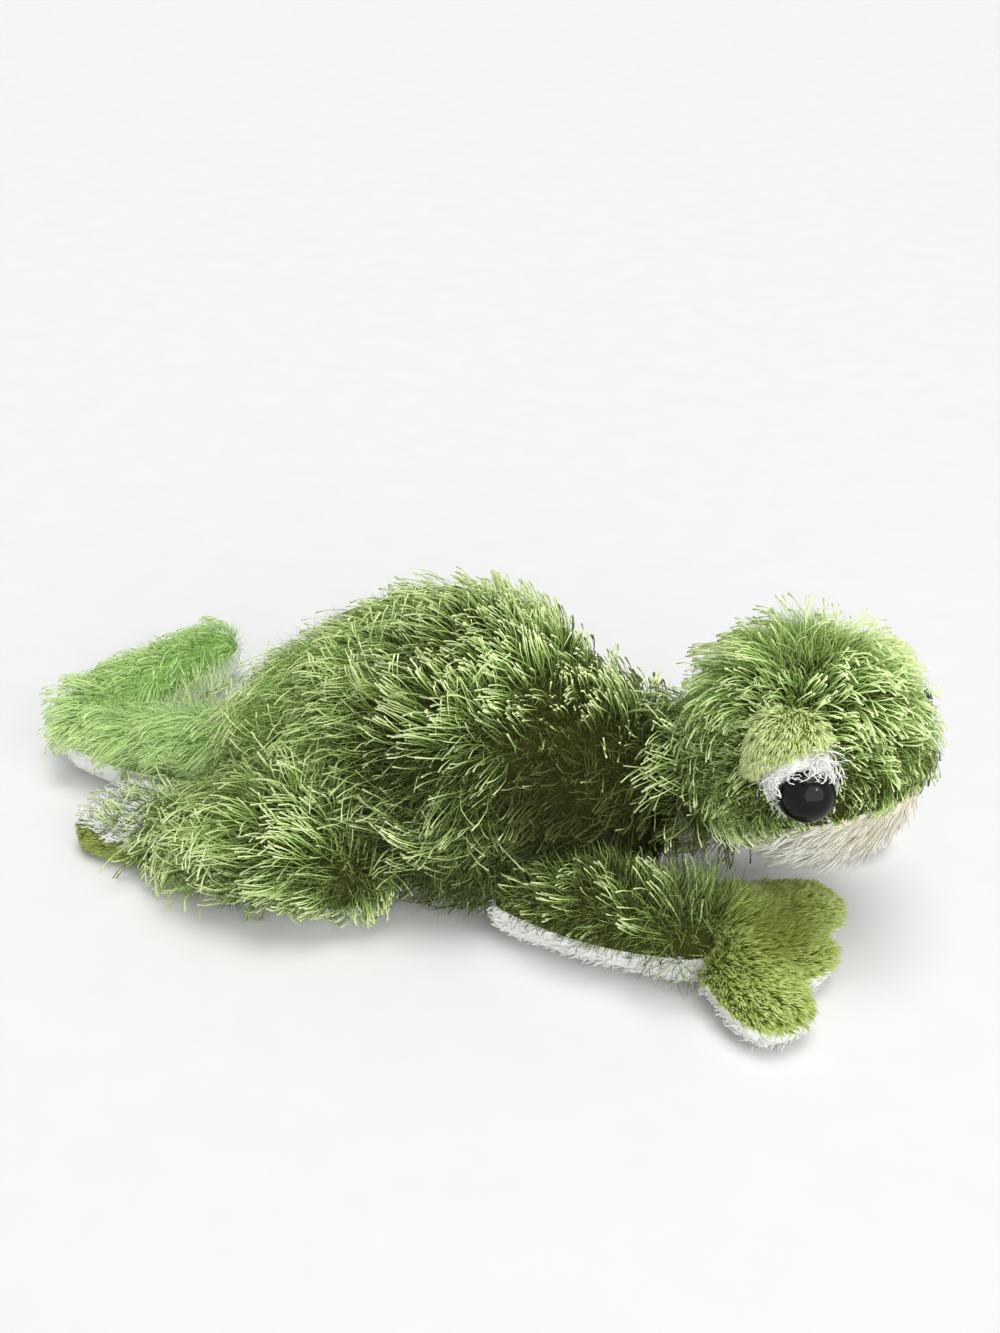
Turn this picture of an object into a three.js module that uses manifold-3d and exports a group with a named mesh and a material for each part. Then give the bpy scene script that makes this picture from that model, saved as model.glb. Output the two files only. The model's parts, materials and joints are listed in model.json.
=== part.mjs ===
// A shaggy plush gecko lying on its belly: sewn fabric covers over stuffed cores, joined at sewn seams.
// Millimetres and degrees. +X points to the nose, +Y to the gecko's left, +Z up, with the floor at z = 0
// and the origin in the middle of the belly's flat resting face.
import * as THREE from "three";
import { mergeVertices } from "three/addons/utils/BufferGeometryUtils.js";
import Module from "manifold-3d";

const wasm = await Module();
wasm.setup();

// Cloth and fits
const COVER = 3; // pile fabric, backing and dense pile roots
const SEAM_GAP = 0.3; // between two panels along their seam
const FILL_GAP = 0.3; // between a cover and what fills it
const JOINT_GAP = 0.4; // between two stuffed forms at a sewn joint
const NECK_GAP = 0.6; // between the body and the neck
const FLOOR_FLAT = 0.5; // depth of the flat where a form lies on the floor
const SWEEP_STEP = 20; // largest turn between two cuts of a joint's sweep

// Facets round the forms
const BODY_SIDES = 16;
const HEAD_SIDES = 14;
const LIMB_SIDES = 12;
const DIGIT_SIDES = 8;
const FILL_SIDES = 6;
const PAD_SIDES = 10;
const EYE_SIDES = 12;
const NECK_SIDES = 8;

// Body
const BODY_LENGTH = 130;
const BODY_WIDTH = 77;
const BODY_HEIGHT = 77.5;
const BODY_REAR = -66; // rump end, from the origin
const BELLY_SEAM = 14; // height of the seam between back cover and belly panel
const PELLET_BAG = new THREE.Vector3(76, 48, 26);
const PELLET_BAG_X = -6;

// Neck and head
const NECK_AHEAD = 3; // crossing of the turn and nod axes, ahead of the body's end
const NECK = new THREE.Vector3(BODY_REAR + BODY_LENGTH + NECK_AHEAD, -1, 41);
const NECK_WIDTH = 34;
const NECK_TURN = [-20, 20];
const NECK_NOD = [-6, 16];
const HEAD_REACH = new THREE.Vector3(29.5, -3, 15.5); // from that crossing to the middle of the head
const HEAD = NECK.clone().add(HEAD_REACH);
const HEAD_SIZE = new THREE.Vector3(60, 58, 56);
const HEAD_HEADING = -20; // the head looks a little to its right
const MOUTH_DROP = 11; // mouth seam below the middle of the head
const MOUTH_TILT = 22; // the mouth seam climbs towards the nose

// Eyes, on both sides of the head
const EYE_AZIMUTH = 74; // eye pad, from straight ahead
const EYE_ELEVATION = 22;
const EYE_STACK_TILT = 35; // lid to the rear, eye to the front
const EYE_PAD = new THREE.Vector3(19, 27, 17); // across, along the stack, outwards
const EYE_PAD_SINK = 2; // middle of the pad below the head's surface
const EYELID = 2; // thickness of the lid over the pad
const EYELID_EDGE = 3.5; // edge of the lid above the pad's middle
const EYE_DROP = 6; // eye below the pad's middle, along the stack
const EYE_DIAMETER = 14.6;
const EYE_DOME = 6.6;
const EYE_SHANK = 4; // diameter
const EYE_SHANK_LENGTH = 13;
const EYE_BACK = 2; // back of the eye above the head's surface
const WASHER_DIAMETER = 12;
const WASHER_THICKNESS = 1.6;

// Arms and hands
const SHOULDER_X = 24;
const ARM_LENGTH = 49; // shoulder to wrist
const ARM_WIDTH = 27;
const ARM_HEIGHT = 27;
const ARM_SEAM = 9;
const SHOULDER_TUCK = 2; // how far the shoulder presses into the body
const ARM_HEADING = { right: -5, left: 28 };
const SHOULDER_SWING = { right: [-70, 0], left: [-8, 45] };
const WRIST = [-30, 15];
const PALM_AHEAD = 5; // middle of the palm, ahead of the wrist
const PALM_INWARDS = 11; // and towards the middle of the body
const FINGER_REACH = [43, 33, 38]; // palm to fingertip
const FINGER_WIDTH = 25;
const HAND_HEIGHT = 15;
const FINGER_SPREAD = 47;
const HAND_TURN = { right: -3, left: 3 }; // of the middle finger on its arm
const PALM_SEAM = 5.5;

// Legs and feet, with the soles turned up
const HIP_X = -24;
const LEG_LENGTH = 55; // hip to ankle
const LEG_WIDTH = 34;
const LEG_HEIGHT = 40;
const LEG_SEAM = 8;
const HIP_TUCK = 3;
const LEG_HEADING = { right: 174, left: 88 };
const FOOT_TURN = { right: -13, left: 0 }; // of the foot on its leg
const HIP_SWING = { right: [0, 75], left: [-25, 22] };
const ANKLE = [-30, 30];
const TOE_REACH = [33, 33, 33]; // ankle to toe tip
const TOE_WIDTH = 15;
const FOOT_HEIGHT = 14;
const TOE_SPREAD = 16;
const SOLE_SEAM = 10;

// Tail, which lies back and then curls to the left and forwards
const TAIL_Y = 2;
const TAIL_TUCK = 4;
const TAIL_STRAIGHT = 44;
const TAIL_BEND_RADIUS = 14;
const TAIL_BEND = 108;
const TAIL_HOOK = 52;
const TAIL_WIDTH = 29;
const TAIL_HEIGHT = 30;
const TAIL_SEAM = 9;
const TAIL_LIFT = [0, 35];

// Section profiles as [place along the form, share of its width, share of its height]
const ARM_PROFILE = [[0, 0.72, 0.74], [0.45, 1, 1], [0.8, 0.92, 0.9], [1, 0.76, 0.76]];
const FINGER_PROFILE = [[0, 0.88, 1.28], [0.6, 1, 1.06], [1, 0.94, 0.9]];
const LEG_PROFILE = [[0, 0.72, 0.74], [0.24, 1, 1], [0.55, 0.8, 0.76], [0.82, 0.62, 0.54], [1, 0.54, 0.44]];
const TAIL_PROFILE = [[0, 1, 1], [0.4, 0.84, 0.74], [0.75, 0.8, 0.76], [1, 0.66, 0.7]];

// Body stations as [place from rump to neck, share of width, share of height at the top, and at the bottom]
const BODY_STATIONS = [
  [0.03, 0.33, 0.46, 0.12], [0.085, 0.58, 0.62, 0.035], [0.165, 0.76, 0.765, 0], [0.29, 0.92, 0.905, 0],
  [0.43, 0.99, 0.98, 0], [0.545, 1, 1, 0], [0.66, 0.94, 0.945, 0], [0.775, 0.79, 0.82, 0.01],
  [0.875, 0.61, 0.725, 0.08], [0.945, 0.44, 0.64, 0.2], [0.985, 0.24, 0.56, 0.32],
];
const RUMP_POLE = 0.3; // height share of the body's two ends
const NECK_POLE = 0.44;

const SIDES = [["right", -1], ["left", 1]];
const UP = new THREE.Vector3(0, 0, 1);
const FAR = 900; // side of the blocks that cut at a plane
const PATH_END = 1 - 1e-6; // rounding can overrun a path at its very end

const cloth = (color, roughness = 0.95) => new THREE.MeshStandardMaterial({ color, roughness, metalness: 0 });
const SHAGGY_GREEN = cloth(0x8bab66);
const LIME_PLUSH = cloth(0xa9bf6a, 0.9);
const WHITE_PLUSH = cloth(0xdfe4d6);
const CREAM_PLUSH = cloth(0xe0dfc0);
const FIBRE_FILL = cloth(0xf2f0ea, 1);
const PELLET_FILL = cloth(0xcfd3d6, 0.7);
const EYE_BLACK = cloth(0x0b0b0d, 0.12);
const WASHER_PLASTIC = cloth(0x30343a, 0.5);

// Solids

function toSolid(geometry) {
  const bare = geometry.index ? geometry.toNonIndexed() : geometry.clone();
  bare.deleteAttribute("normal");
  bare.deleteAttribute("uv");
  const merged = mergeVertices(bare, 1e-4);
  const corners = merged.index.array;
  const triangles = [];
  for (let i = 0; i < corners.length; i += 3) {
    const [a, b, c] = [corners[i], corners[i + 1], corners[i + 2]];
    if (a !== b && b !== c && c !== a) triangles.push(a, b, c);
  }
  return new wasm.Manifold(new wasm.Mesh({
    numProp: 3,
    vertProperties: new Float32Array(merged.attributes.position.array),
    triVerts: new Uint32Array(triangles),
  }));
}

function toMesh(name, solid, material) {
  const { vertProperties, triVerts } = solid.getMesh();
  const geometry = new THREE.BufferGeometry();
  geometry.setAttribute("position", new THREE.BufferAttribute(new Float32Array(vertProperties), 3));
  geometry.setIndex(new THREE.BufferAttribute(new Uint32Array(triVerts), 1));
  geometry.computeVertexNormals();
  const mesh = new THREE.Mesh(geometry, material);
  mesh.name = name;
  return mesh;
}

const moved = (solid, matrix) => solid.transform(matrix.elements);

// Everything on the side of a plane that its normal points to
function beyond(normal, offset) {
  const turn = new THREE.Quaternion().setFromUnitVectors(UP, normal);
  const block = new THREE.BoxGeometry(FAR, FAR, FAR);
  block.translate(0, 0, FAR / 2 + offset);
  block.applyQuaternion(turn);
  return toSolid(block);
}

// Turn about an axis through a point
function turnAbout(point, axis, degrees) {
  const there = new THREE.Matrix4().makeTranslation(point.x, point.y, point.z);
  const turn = new THREE.Matrix4().makeRotationAxis(axis, THREE.MathUtils.degToRad(degrees));
  const back = new THREE.Matrix4().makeTranslation(-point.x, -point.y, -point.z);
  return there.multiply(turn).multiply(back);
}

// The space that a limb's round end takes, seen from the paw that turns on it: the round itself, whose
// facets lie outside the real one, and all behind a plane that the paw's root never tips past
function limbEndSpace(form, range, pawHeight) {
  const [, widthShare, heightShare] = form.profile.at(-1);
  const halfHeight = (form.height * heightShare) / 2;
  const hinge = new THREE.Vector3(0, 0, halfHeight - FLOOR_FLAT);
  const slack = (form.width / 2) * (1 - Math.cos(Math.PI / LIMB_SIDES));
  const ball = new THREE.Vector3(2 * halfHeight, form.width * widthShare, 2 * halfHeight);
  const round = ellipsoid(ball, -JOINT_GAP - slack, LIMB_SIDES, new THREE.Matrix4().setPosition(hinge));
  const steepest = THREE.MathUtils.degToRad(Math.max(...range.map(Math.abs)));
  const tallest = Math.max(hinge.z, pawHeight - hinge.z);
  return round.add(beyond(new THREE.Vector3(-1, 0, 0), -tallest * Math.tan(steepest)));
}

// The space that a neighbour takes, seen from a piece that turns by range about an axis
function swept(neighbour, point, axis, [least, most]) {
  const count = Math.ceil((most - least) / SWEEP_STEP);
  let space = moved(neighbour, turnAbout(point, axis, -least));
  for (let i = 1; i <= count; i += 1) {
    const angle = least + ((most - least) * i) / count;
    space = space.add(moved(neighbour, turnAbout(point, axis, -angle)));
  }
  return space;
}

// Stuffed forms

function oval({ centre, side, up, halfWidth, halfHeight }, sides) {
  const ring = [];
  for (let i = 0; i < sides; i += 1) {
    const angle = (i / sides) * Math.PI * 2;
    const point = centre.clone();
    point.addScaledVector(side, halfWidth * Math.cos(angle));
    point.addScaledVector(up, halfHeight * Math.sin(angle));
    ring.push(point);
  }
  return ring;
}

// A closed skin over a row of rings, from one end point to the other
function loft(startPole, rings, endPole) {
  const points = [];
  const face = (a, b, c) => points.push(...a.toArray(), ...b.toArray(), ...c.toArray());
  const sides = rings[0].length;
  for (let i = 0; i < sides; i += 1) {
    const j = (i + 1) % sides;
    face(startPole, rings[0][j], rings[0][i]);
    for (let k = 0; k + 1 < rings.length; k += 1) {
      face(rings[k][i], rings[k][j], rings[k + 1][j]);
      face(rings[k][i], rings[k + 1][j], rings[k + 1][i]);
    }
    face(endPole, rings.at(-1)[i], rings.at(-1)[j]);
  }
  const geometry = new THREE.BufferGeometry();
  geometry.setAttribute("position", new THREE.Float32BufferAttribute(points, 3));
  return toSolid(geometry);
}

function shareAlong(profile, place) {
  const next = profile.findIndex(([at]) => at >= place);
  if (next <= 0) return profile[next === 0 ? 0 : profile.length - 1].slice(1);
  const [from, to] = [profile[next - 1], profile[next]];
  const blend = THREE.MathUtils.smoothstep(place, from[0], to[0]);
  return [1, 2].map((k) => THREE.MathUtils.lerp(from[k], to[k], blend));
}

// A limb that lies on the floor along a level path between two joints, and bulges past both in round ends.
// roundStart and roundEnd say which half size the end is round with: that of its width or its height.
function limb({
  path, width, height, profile, roundStart, roundEnd,
  inset = 0, from = 0, to = 1, sides = LIMB_SIDES, steps = 4,
}) {
  const station = (place, past, shrink) => {
    const [widthShare, heightShare] = shareAlong(profile, place);
    const halfHeight = (height / 2) * heightShare;
    const at = Math.min(place, PATH_END);
    const along = path.getTangentAt(at);
    const centre = path.getPointAt(at).addScaledVector(along, past);
    centre.z += halfHeight - FLOOR_FLAT;
    const side = new THREE.Vector3().crossVectors(UP, along).normalize();
    const halfWidth = (width / 2) * widthShare - inset;
    return {
      centre, side, up: UP,
      halfWidth: halfWidth * shrink, halfHeight: (halfHeight - inset) * shrink,
      round: { width: halfWidth, height: halfHeight - inset },
    };
  };
  const roundings = [30, 60].map((degrees) => THREE.MathUtils.degToRad(degrees));
  const startRound = station(from, 0, 1).round[roundStart];
  const endRound = station(to, 0, 1).round[roundEnd];
  const rings = [];
  roundings.forEach((a) => rings.push(station(from, -startRound * Math.cos(a), Math.sin(a))));
  for (let i = 0; i <= steps; i += 1) rings.push(station(from + ((to - from) * i) / steps, 0, 1));
  roundings.toReversed().forEach((a) => rings.push(station(to, endRound * Math.cos(a), Math.sin(a))));
  const startPole = station(from, -startRound, 0).centre;
  const endPole = station(to, endRound, 0).centre;
  return loft(startPole, rings.map((ring) => oval(ring, sides)), endPole);
}

// An ellipsoid on its own axes, shrunk all round by an inset
function ellipsoid(size, inset, sides, matrix) {
  const geometry = new THREE.SphereGeometry(1, sides, Math.round(sides * 0.7));
  geometry.rotateX(Math.PI / 2);
  geometry.scale(size.x / 2 - inset, size.y / 2 - inset, size.z / 2 - inset);
  if (matrix) geometry.applyMatrix4(matrix);
  return toSolid(geometry);
}

// Body

const bodyX = (place) => BODY_REAR + BODY_LENGTH * place;

function bodyStation(place) {
  const last = BODY_STATIONS.length - 1;
  const next = THREE.MathUtils.clamp(BODY_STATIONS.findIndex(([at]) => at >= place), 1, last);
  const [from, to] = [BODY_STATIONS[next - 1], BODY_STATIONS[next]];
  const blend = (place - from[0]) / (to[0] - from[0]);
  const [width, top, bottom] = [1, 2, 3].map((k) => THREE.MathUtils.lerp(from[k], to[k], blend));
  return {
    halfWidth: (BODY_WIDTH * width) / 2,
    halfHeight: (BODY_HEIGHT * (top - bottom)) / 2,
    middle: (BODY_HEIGHT * (top + bottom)) / 2 - FLOOR_FLAT,
  };
}

// The body's form, shrunk about its middle by an inset on each side
function bodyForm(inset, sides) {
  const middle = new THREE.Vector3(bodyX(0.5), 0, BODY_HEIGHT / 2 - FLOOR_FLAT);
  const shrink = new THREE.Vector3(
    1 - (2 * inset) / BODY_LENGTH, 1 - (2 * inset) / BODY_WIDTH, 1 - (2 * inset) / BODY_HEIGHT,
  );
  const place = (point) => point.sub(middle).multiply(shrink).add(middle);
  const rings = BODY_STATIONS.map(([at]) => {
    const { halfWidth, halfHeight, middle: z } = bodyStation(at);
    const centre = new THREE.Vector3(bodyX(at), 0, z);
    const side = new THREE.Vector3(0, 1, 0);
    return oval({ centre, side, up: UP, halfWidth, halfHeight }, sides).map(place);
  });
  const rump = place(new THREE.Vector3(bodyX(0), 0, BODY_HEIGHT * RUMP_POLE));
  const neck = place(new THREE.Vector3(bodyX(1), 0, BODY_HEIGHT * NECK_POLE));
  return loft(rump, rings, neck);
}

// Distance of the body's side from its middle plane
function bodySide(x, z) {
  const { halfWidth, halfHeight, middle } = bodyStation((x - BODY_REAR) / BODY_LENGTH);
  const rise = THREE.MathUtils.clamp((z - middle) / halfHeight, -1, 1);
  return halfWidth * Math.sqrt(1 - rise * rise);
}

const floorBlock = beyond(UP.clone().negate(), 0);

// Two panels that meet at a seam plane, cut from a hollow shell
function panels(shell, normal, offset) {
  const down = normal.clone().negate();
  return {
    upper: shell.subtract(beyond(down, -offset - SEAM_GAP / 2)),
    lower: shell.subtract(beyond(normal, offset - SEAM_GAP / 2)),
  };
}

function buildBody() {
  const group = new THREE.Group();
  const shell = bodyForm(0, BODY_SIDES).subtract(floorBlock).subtract(bodyForm(COVER, FILL_SIDES));
  const { upper, lower } = panels(shell, UP, BELLY_SEAM);
  const core = bodyForm(COVER + FILL_GAP, FILL_SIDES);
  const bagMiddle = new THREE.Matrix4().makeTranslation(PELLET_BAG_X, 0, COVER + PELLET_BAG.z / 4);
  const bag = ellipsoid(PELLET_BAG, 0, PAD_SIDES, bagMiddle).intersect(core);
  const bagSpace = ellipsoid(PELLET_BAG, -FILL_GAP, PAD_SIDES, bagMiddle);
  group.add(toMesh("back_cover", upper, SHAGGY_GREEN));
  group.add(toMesh("belly_panel", lower, WHITE_PLUSH));
  group.add(toMesh("body_stuffing", core.subtract(bagSpace), FIBRE_FILL));
  group.add(toMesh("pellet_bag", bag, PELLET_FILL));
  return group;
}

// Head and neck

const headTurn = new THREE.Matrix4().makeRotationZ(THREE.MathUtils.degToRad(HEAD_HEADING)).setPosition(HEAD);
const headForm = (inset, sides) => ellipsoid(HEAD_SIZE, inset, sides);

// Distance of the head's surface from its middle in a direction
function headReach(direction) {
  const share = direction.clone().divide(HEAD_SIZE).multiplyScalar(2);
  return 1 / share.length();
}

// A turned shape on an axis, from its outline in radius and height
function turned(outline, sides, matrix) {
  const geometry = new THREE.LatheGeometry(outline.map(([r, h]) => new THREE.Vector2(r, h)), sides);
  geometry.rotateX(Math.PI / 2);
  geometry.applyMatrix4(matrix);
  return toSolid(geometry);
}

// The eye's outline: shank, flat back and dome, grown all over by a clearance
function eyeOutline(clearance) {
  const radius = EYE_DIAMETER / 2 + clearance;
  const shank = EYE_SHANK / 2 + clearance;
  const dome = EYE_DOME + clearance;
  const shankEnd = -EYE_SHANK_LENGTH - clearance;
  const outline = [[0, shankEnd], [shank, shankEnd], [shank, -clearance]];
  const domeSteps = EYE_SIDES / 4;
  for (let i = 0; i <= domeSteps; i += 1) {
    const angle = (i / domeSteps) * (Math.PI / 2);
    outline.push([i === domeSteps ? 0 : radius * Math.cos(angle), dome * Math.sin(angle)]);
  }
  outline.splice(3, 0, [radius, -clearance]);
  return clearance ? outline : outline.toSpliced(3, 1);
}

function washerOutline(clearance, bore) {
  const outer = WASHER_DIAMETER / 2 + clearance;
  const low = -clearance;
  const high = WASHER_THICKNESS + clearance;
  if (!bore) return [[0, low], [outer, low], [outer, high], [0, high]];
  const inner = EYE_SHANK / 2 + FILL_GAP;
  return [[inner, low], [outer, low], [outer, high], [inner, high], [inner, low]];
}

// Frame of an eye pad on one side of the head: across, along the stack, and outwards
function eyeFrames(side) {
  const azimuth = THREE.MathUtils.degToRad(EYE_AZIMUTH) * side;
  const elevation = THREE.MathUtils.degToRad(EYE_ELEVATION);
  const tilt = THREE.MathUtils.degToRad(EYE_STACK_TILT);
  const out = new THREE.Vector3(
    Math.cos(elevation) * Math.cos(azimuth), Math.cos(elevation) * Math.sin(azimuth), Math.sin(elevation),
  );
  const rearward = new THREE.Vector3(-Math.sin(azimuth), Math.cos(azimuth), 0).multiplyScalar(side);
  const upward = new THREE.Vector3().crossVectors(out, rearward).multiplyScalar(side);
  const along = upward.multiplyScalar(Math.cos(tilt)).addScaledVector(rearward, Math.sin(tilt));
  const across = new THREE.Vector3().crossVectors(along, out);
  const middle = out.clone().multiplyScalar(headReach(out) - EYE_PAD_SINK);
  const pad = new THREE.Matrix4().makeBasis(across, along, out).setPosition(middle);

  const eyeWay = middle.clone().addScaledVector(along, -EYE_DROP).normalize();
  const turn = new THREE.Matrix4().makeRotationFromQuaternion(
    new THREE.Quaternion().setFromUnitVectors(UP, eyeWay),
  );
  const surface = headReach(eyeWay);
  const eye = turn.clone().setPosition(eyeWay.clone().multiplyScalar(surface + EYE_BACK));
  const washerAt = surface - COVER - FILL_GAP - WASHER_THICKNESS;
  const washer = turn.clone().setPosition(eyeWay.clone().multiplyScalar(washerAt));
  return { pad, along, middle, eye, washer };
}

function buildHead() {
  const group = new THREE.Group();
  group.applyMatrix4(headTurn);
  const tilt = THREE.MathUtils.degToRad(MOUTH_TILT);
  const mouthNormal = new THREE.Vector3(-Math.sin(tilt), 0, Math.cos(tilt));
  const headSpace = headForm(-FILL_GAP, HEAD_SIDES);
  let shell = headForm(0, HEAD_SIDES).subtract(headForm(COVER, FILL_SIDES));
  let core = headForm(COVER + FILL_GAP, FILL_SIDES);

  for (const [name, side] of SIDES) {
    const frame = eyeFrames(side);
    const eye = turned(eyeOutline(0), EYE_SIDES, frame.eye);
    const eyeSpace = turned(eyeOutline(FILL_GAP), EYE_SIDES, frame.eye);
    const washer = turned(washerOutline(0, true), EYE_SIDES, frame.washer);
    const washerSpace = turned(washerOutline(FILL_GAP, false), EYE_SIDES, frame.washer);
    shell = shell.subtract(eyeSpace).subtract(washerSpace);
    core = core.subtract(eyeSpace).subtract(washerSpace);

    const padForm = ellipsoid(EYE_PAD, 0, PAD_SIDES, frame.pad);
    const padSpace = ellipsoid(EYE_PAD, -FILL_GAP, PAD_SIDES, frame.pad);
    const lidForm = ellipsoid(EYE_PAD, -EYELID, PAD_SIDES, frame.pad);
    const lidPlane = beyond(frame.along, frame.middle.dot(frame.along) + EYELID_EDGE);
    const pad = padForm.subtract(headSpace).subtract(eyeSpace);
    const lid = lidForm.intersect(lidPlane).subtract(padSpace).subtract(headSpace).subtract(eyeSpace);
    group.add(toMesh(`eye_pad_${name}`, pad, WHITE_PLUSH));
    group.add(toMesh(`eyelid_${name}`, lid, LIME_PLUSH));
    group.add(toMesh(`eye_${name}`, eye, EYE_BLACK));
    group.add(toMesh(`eye_washer_${name}`, washer, WASHER_PLASTIC));
  }

  const { upper, lower } = panels(shell, mouthNormal, -MOUTH_DROP * Math.cos(tilt));
  group.add(toMesh("head_cover", upper, SHAGGY_GREEN));
  group.add(toMesh("chin_panel", lower, CREAM_PLUSH));
  group.add(toMesh("head_stuffing", core, FIBRE_FILL));
  return group;
}

// The neck fills the space between body and head and keeps clear of both as it turns and nods
function buildNeck() {
  const group = new THREE.Group();
  const headSpace = moved(headForm(-JOINT_GAP, HEAD_SIDES), headTurn);
  const nodAxis = new THREE.Vector3(0, -1, 0);
  const toHead = HEAD.clone().sub(NECK).normalize();
  const reach = new THREE.Matrix4().makeRotationFromQuaternion(
    new THREE.Quaternion().setFromUnitVectors(new THREE.Vector3(1, 0, 0), toHead),
  ).setPosition(NECK);
  const size = new THREE.Vector3(HEAD.distanceTo(NECK) * 2 - HEAD_SIZE.x / 2, NECK_WIDTH, NECK_WIDTH);
  const neck = ellipsoid(size, 0, NECK_SIDES, reach)
    .subtract(swept(bodyForm(-NECK_GAP, BODY_SIDES), NECK, UP, NECK_TURN))
    .subtract(swept(headSpace, NECK, nodAxis, [-NECK_NOD[1], -NECK_NOD[0]]));
  group.add(toMesh("neck_gusset", neck, SHAGGY_GREEN));
  return group;
}

// Limbs

// A group that stands on the floor at a joint and faces along a heading
function jointGroup(x, y, heading) {
  const group = new THREE.Group();
  group.position.set(x, y, 0);
  group.rotation.z = THREE.MathUtils.degToRad(heading);
  group.updateMatrix();
  return group;
}

const levelLine = (start, end) => (
  new THREE.LineCurve3(new THREE.Vector3(start, 0, 0), new THREE.Vector3(end, 0, 0))
);
const SIDE_AXIS = new THREE.Vector3(0, -1, 0); // turns a limb's far end upwards

// A stuffed limb, cut by the body as it turns about its joint: two panels and their filling
function stuffedLimb(group, names, form, hollow, seam, joint) {
  const toLimb = group.matrix.clone().invert();
  const bodySpace = (clearance) => moved(bodyForm(-clearance, BODY_SIDES), toLimb);
  const bodyCut = swept(bodySpace(JOINT_GAP), joint.point, joint.axis, joint.range);
  const outer = limb(form).subtract(floorBlock).subtract(bodyCut);
  const core = (inset) => limb({ ...form, ...hollow, inset }).subtract(bodySpace(JOINT_GAP + inset));
  const inside = core(COVER);
  const fill = core(COVER + FILL_GAP);
  const { upper, lower } = panels(outer.subtract(inside), UP, seam);
  group.add(toMesh(names.upper, upper, SHAGGY_GREEN));
  group.add(toMesh(names.lower, lower, WHITE_PLUSH));
  group.add(toMesh(names.fill, fill, FIBRE_FILL));
}

// A hand or foot: three fat digits that fan out from a root, cut by the limb that it is sewn to
function paw(group, names, { root, turn, start, reach, width, height, spread, seam }, cutter, materials) {
  const digit = (number, inset, hollow) => {
    const straight = limb({
      path: levelLine(start, reach[number] - width / 2), width, height, profile: FINGER_PROFILE,
      roundStart: "height", roundEnd: "width", inset, sides: DIGIT_SIDES, steps: 2, ...hollow,
    });
    const angle = turn + (number - 1) * spread;
    const way = new THREE.Matrix4().makeRotationZ(THREE.MathUtils.degToRad(angle));
    return moved(straight, way.setPosition(root));
  };
  const fan = [0, 1, 2].map((number) => digit(number, 0));
  const hollow = { from: 0.55, to: 0.9, sides: FILL_SIDES, steps: 1 };
  const outer = fan[0].add(fan[1]).add(fan[2]).subtract(floorBlock).subtract(cutter);
  const { upper, lower } = panels(outer.subtract(digit(1, COVER, hollow)), UP, seam);
  group.add(toMesh(names.upper, upper, materials.upper));
  group.add(toMesh(names.lower, lower, materials.lower));
  group.add(toMesh(names.fill, digit(1, COVER + FILL_GAP, hollow), PELLET_FILL));
}

const LIMB_HOLLOW = { from: 0.3, to: 0.9, sides: FILL_SIDES, steps: 1 };

function buildArm(name, side) {
  const [, widthShare, heightShare] = ARM_PROFILE[0];
  const bodyY = bodySide(SHOULDER_X, (ARM_HEIGHT * heightShare) / 2);
  const shoulderY = bodyY + (ARM_WIDTH * widthShare) / 2 - SHOULDER_TUCK;
  const group = jointGroup(SHOULDER_X, side * shoulderY, ARM_HEADING[name]);
  const form = {
    path: levelLine(0, ARM_LENGTH), width: ARM_WIDTH, height: ARM_HEIGHT, profile: ARM_PROFILE,
    roundStart: "width", roundEnd: "height",
  };
  const shoulderJoint = { point: new THREE.Vector3(), axis: UP, range: SHOULDER_SWING[name] };
  stuffedLimb(group, {
    upper: `arm_cover_${name}`, lower: `arm_underside_${name}`, fill: `arm_stuffing_${name}`,
  }, form, LIMB_HOLLOW, ARM_SEAM, shoulderJoint);

  const hand = jointGroup(ARM_LENGTH, 0, 0);
  paw(hand, {
    upper: `hand_cover_${name}`, lower: `hand_palm_${name}`, fill: `hand_pellets_${name}`,
  }, {
    root: new THREE.Vector3(PALM_AHEAD, -side * PALM_INWARDS, 0), turn: HAND_TURN[name], start: 0,
    reach: FINGER_REACH, width: FINGER_WIDTH, height: HAND_HEIGHT, spread: FINGER_SPREAD, seam: PALM_SEAM,
  }, limbEndSpace(form, WRIST, HAND_HEIGHT), { upper: LIME_PLUSH, lower: WHITE_PLUSH });
  group.add(hand);
  return group;
}

function buildLeg(name, side) {
  const [, widthShare, heightShare] = LEG_PROFILE[0];
  const bodyY = bodySide(HIP_X, (LEG_HEIGHT * heightShare) / 2);
  const hipY = bodyY + (LEG_WIDTH * widthShare) / 2 - HIP_TUCK;
  const group = jointGroup(HIP_X, side * hipY, LEG_HEADING[name]);
  const form = {
    path: levelLine(0, LEG_LENGTH), width: LEG_WIDTH, height: LEG_HEIGHT, profile: LEG_PROFILE,
    roundStart: "width", roundEnd: "height", steps: 5,
  };
  const hipJoint = { point: new THREE.Vector3(), axis: UP, range: HIP_SWING[name] };
  stuffedLimb(group, {
    upper: `leg_cover_${name}`, lower: `leg_underside_${name}`, fill: `leg_stuffing_${name}`,
  }, form, LIMB_HOLLOW, LEG_SEAM, hipJoint);

  const foot = jointGroup(LEG_LENGTH, 0, FOOT_TURN[name]);
  paw(foot, {
    upper: `foot_sole_${name}`, lower: `foot_cover_${name}`, fill: `foot_pellets_${name}`,
  }, {
    root: new THREE.Vector3(), turn: 0, start: FOOT_HEIGHT / 2,
    reach: TOE_REACH, width: TOE_WIDTH, height: FOOT_HEIGHT, spread: TOE_SPREAD, seam: SOLE_SEAM,
  }, limbEndSpace(form, ANKLE, FOOT_HEIGHT), { upper: WHITE_PLUSH, lower: LIME_PLUSH });
  group.add(foot);
  return group;
}

const TAIL_HOLLOW = { from: 0.12, to: 0.94, sides: FILL_SIDES, steps: 6 };

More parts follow.
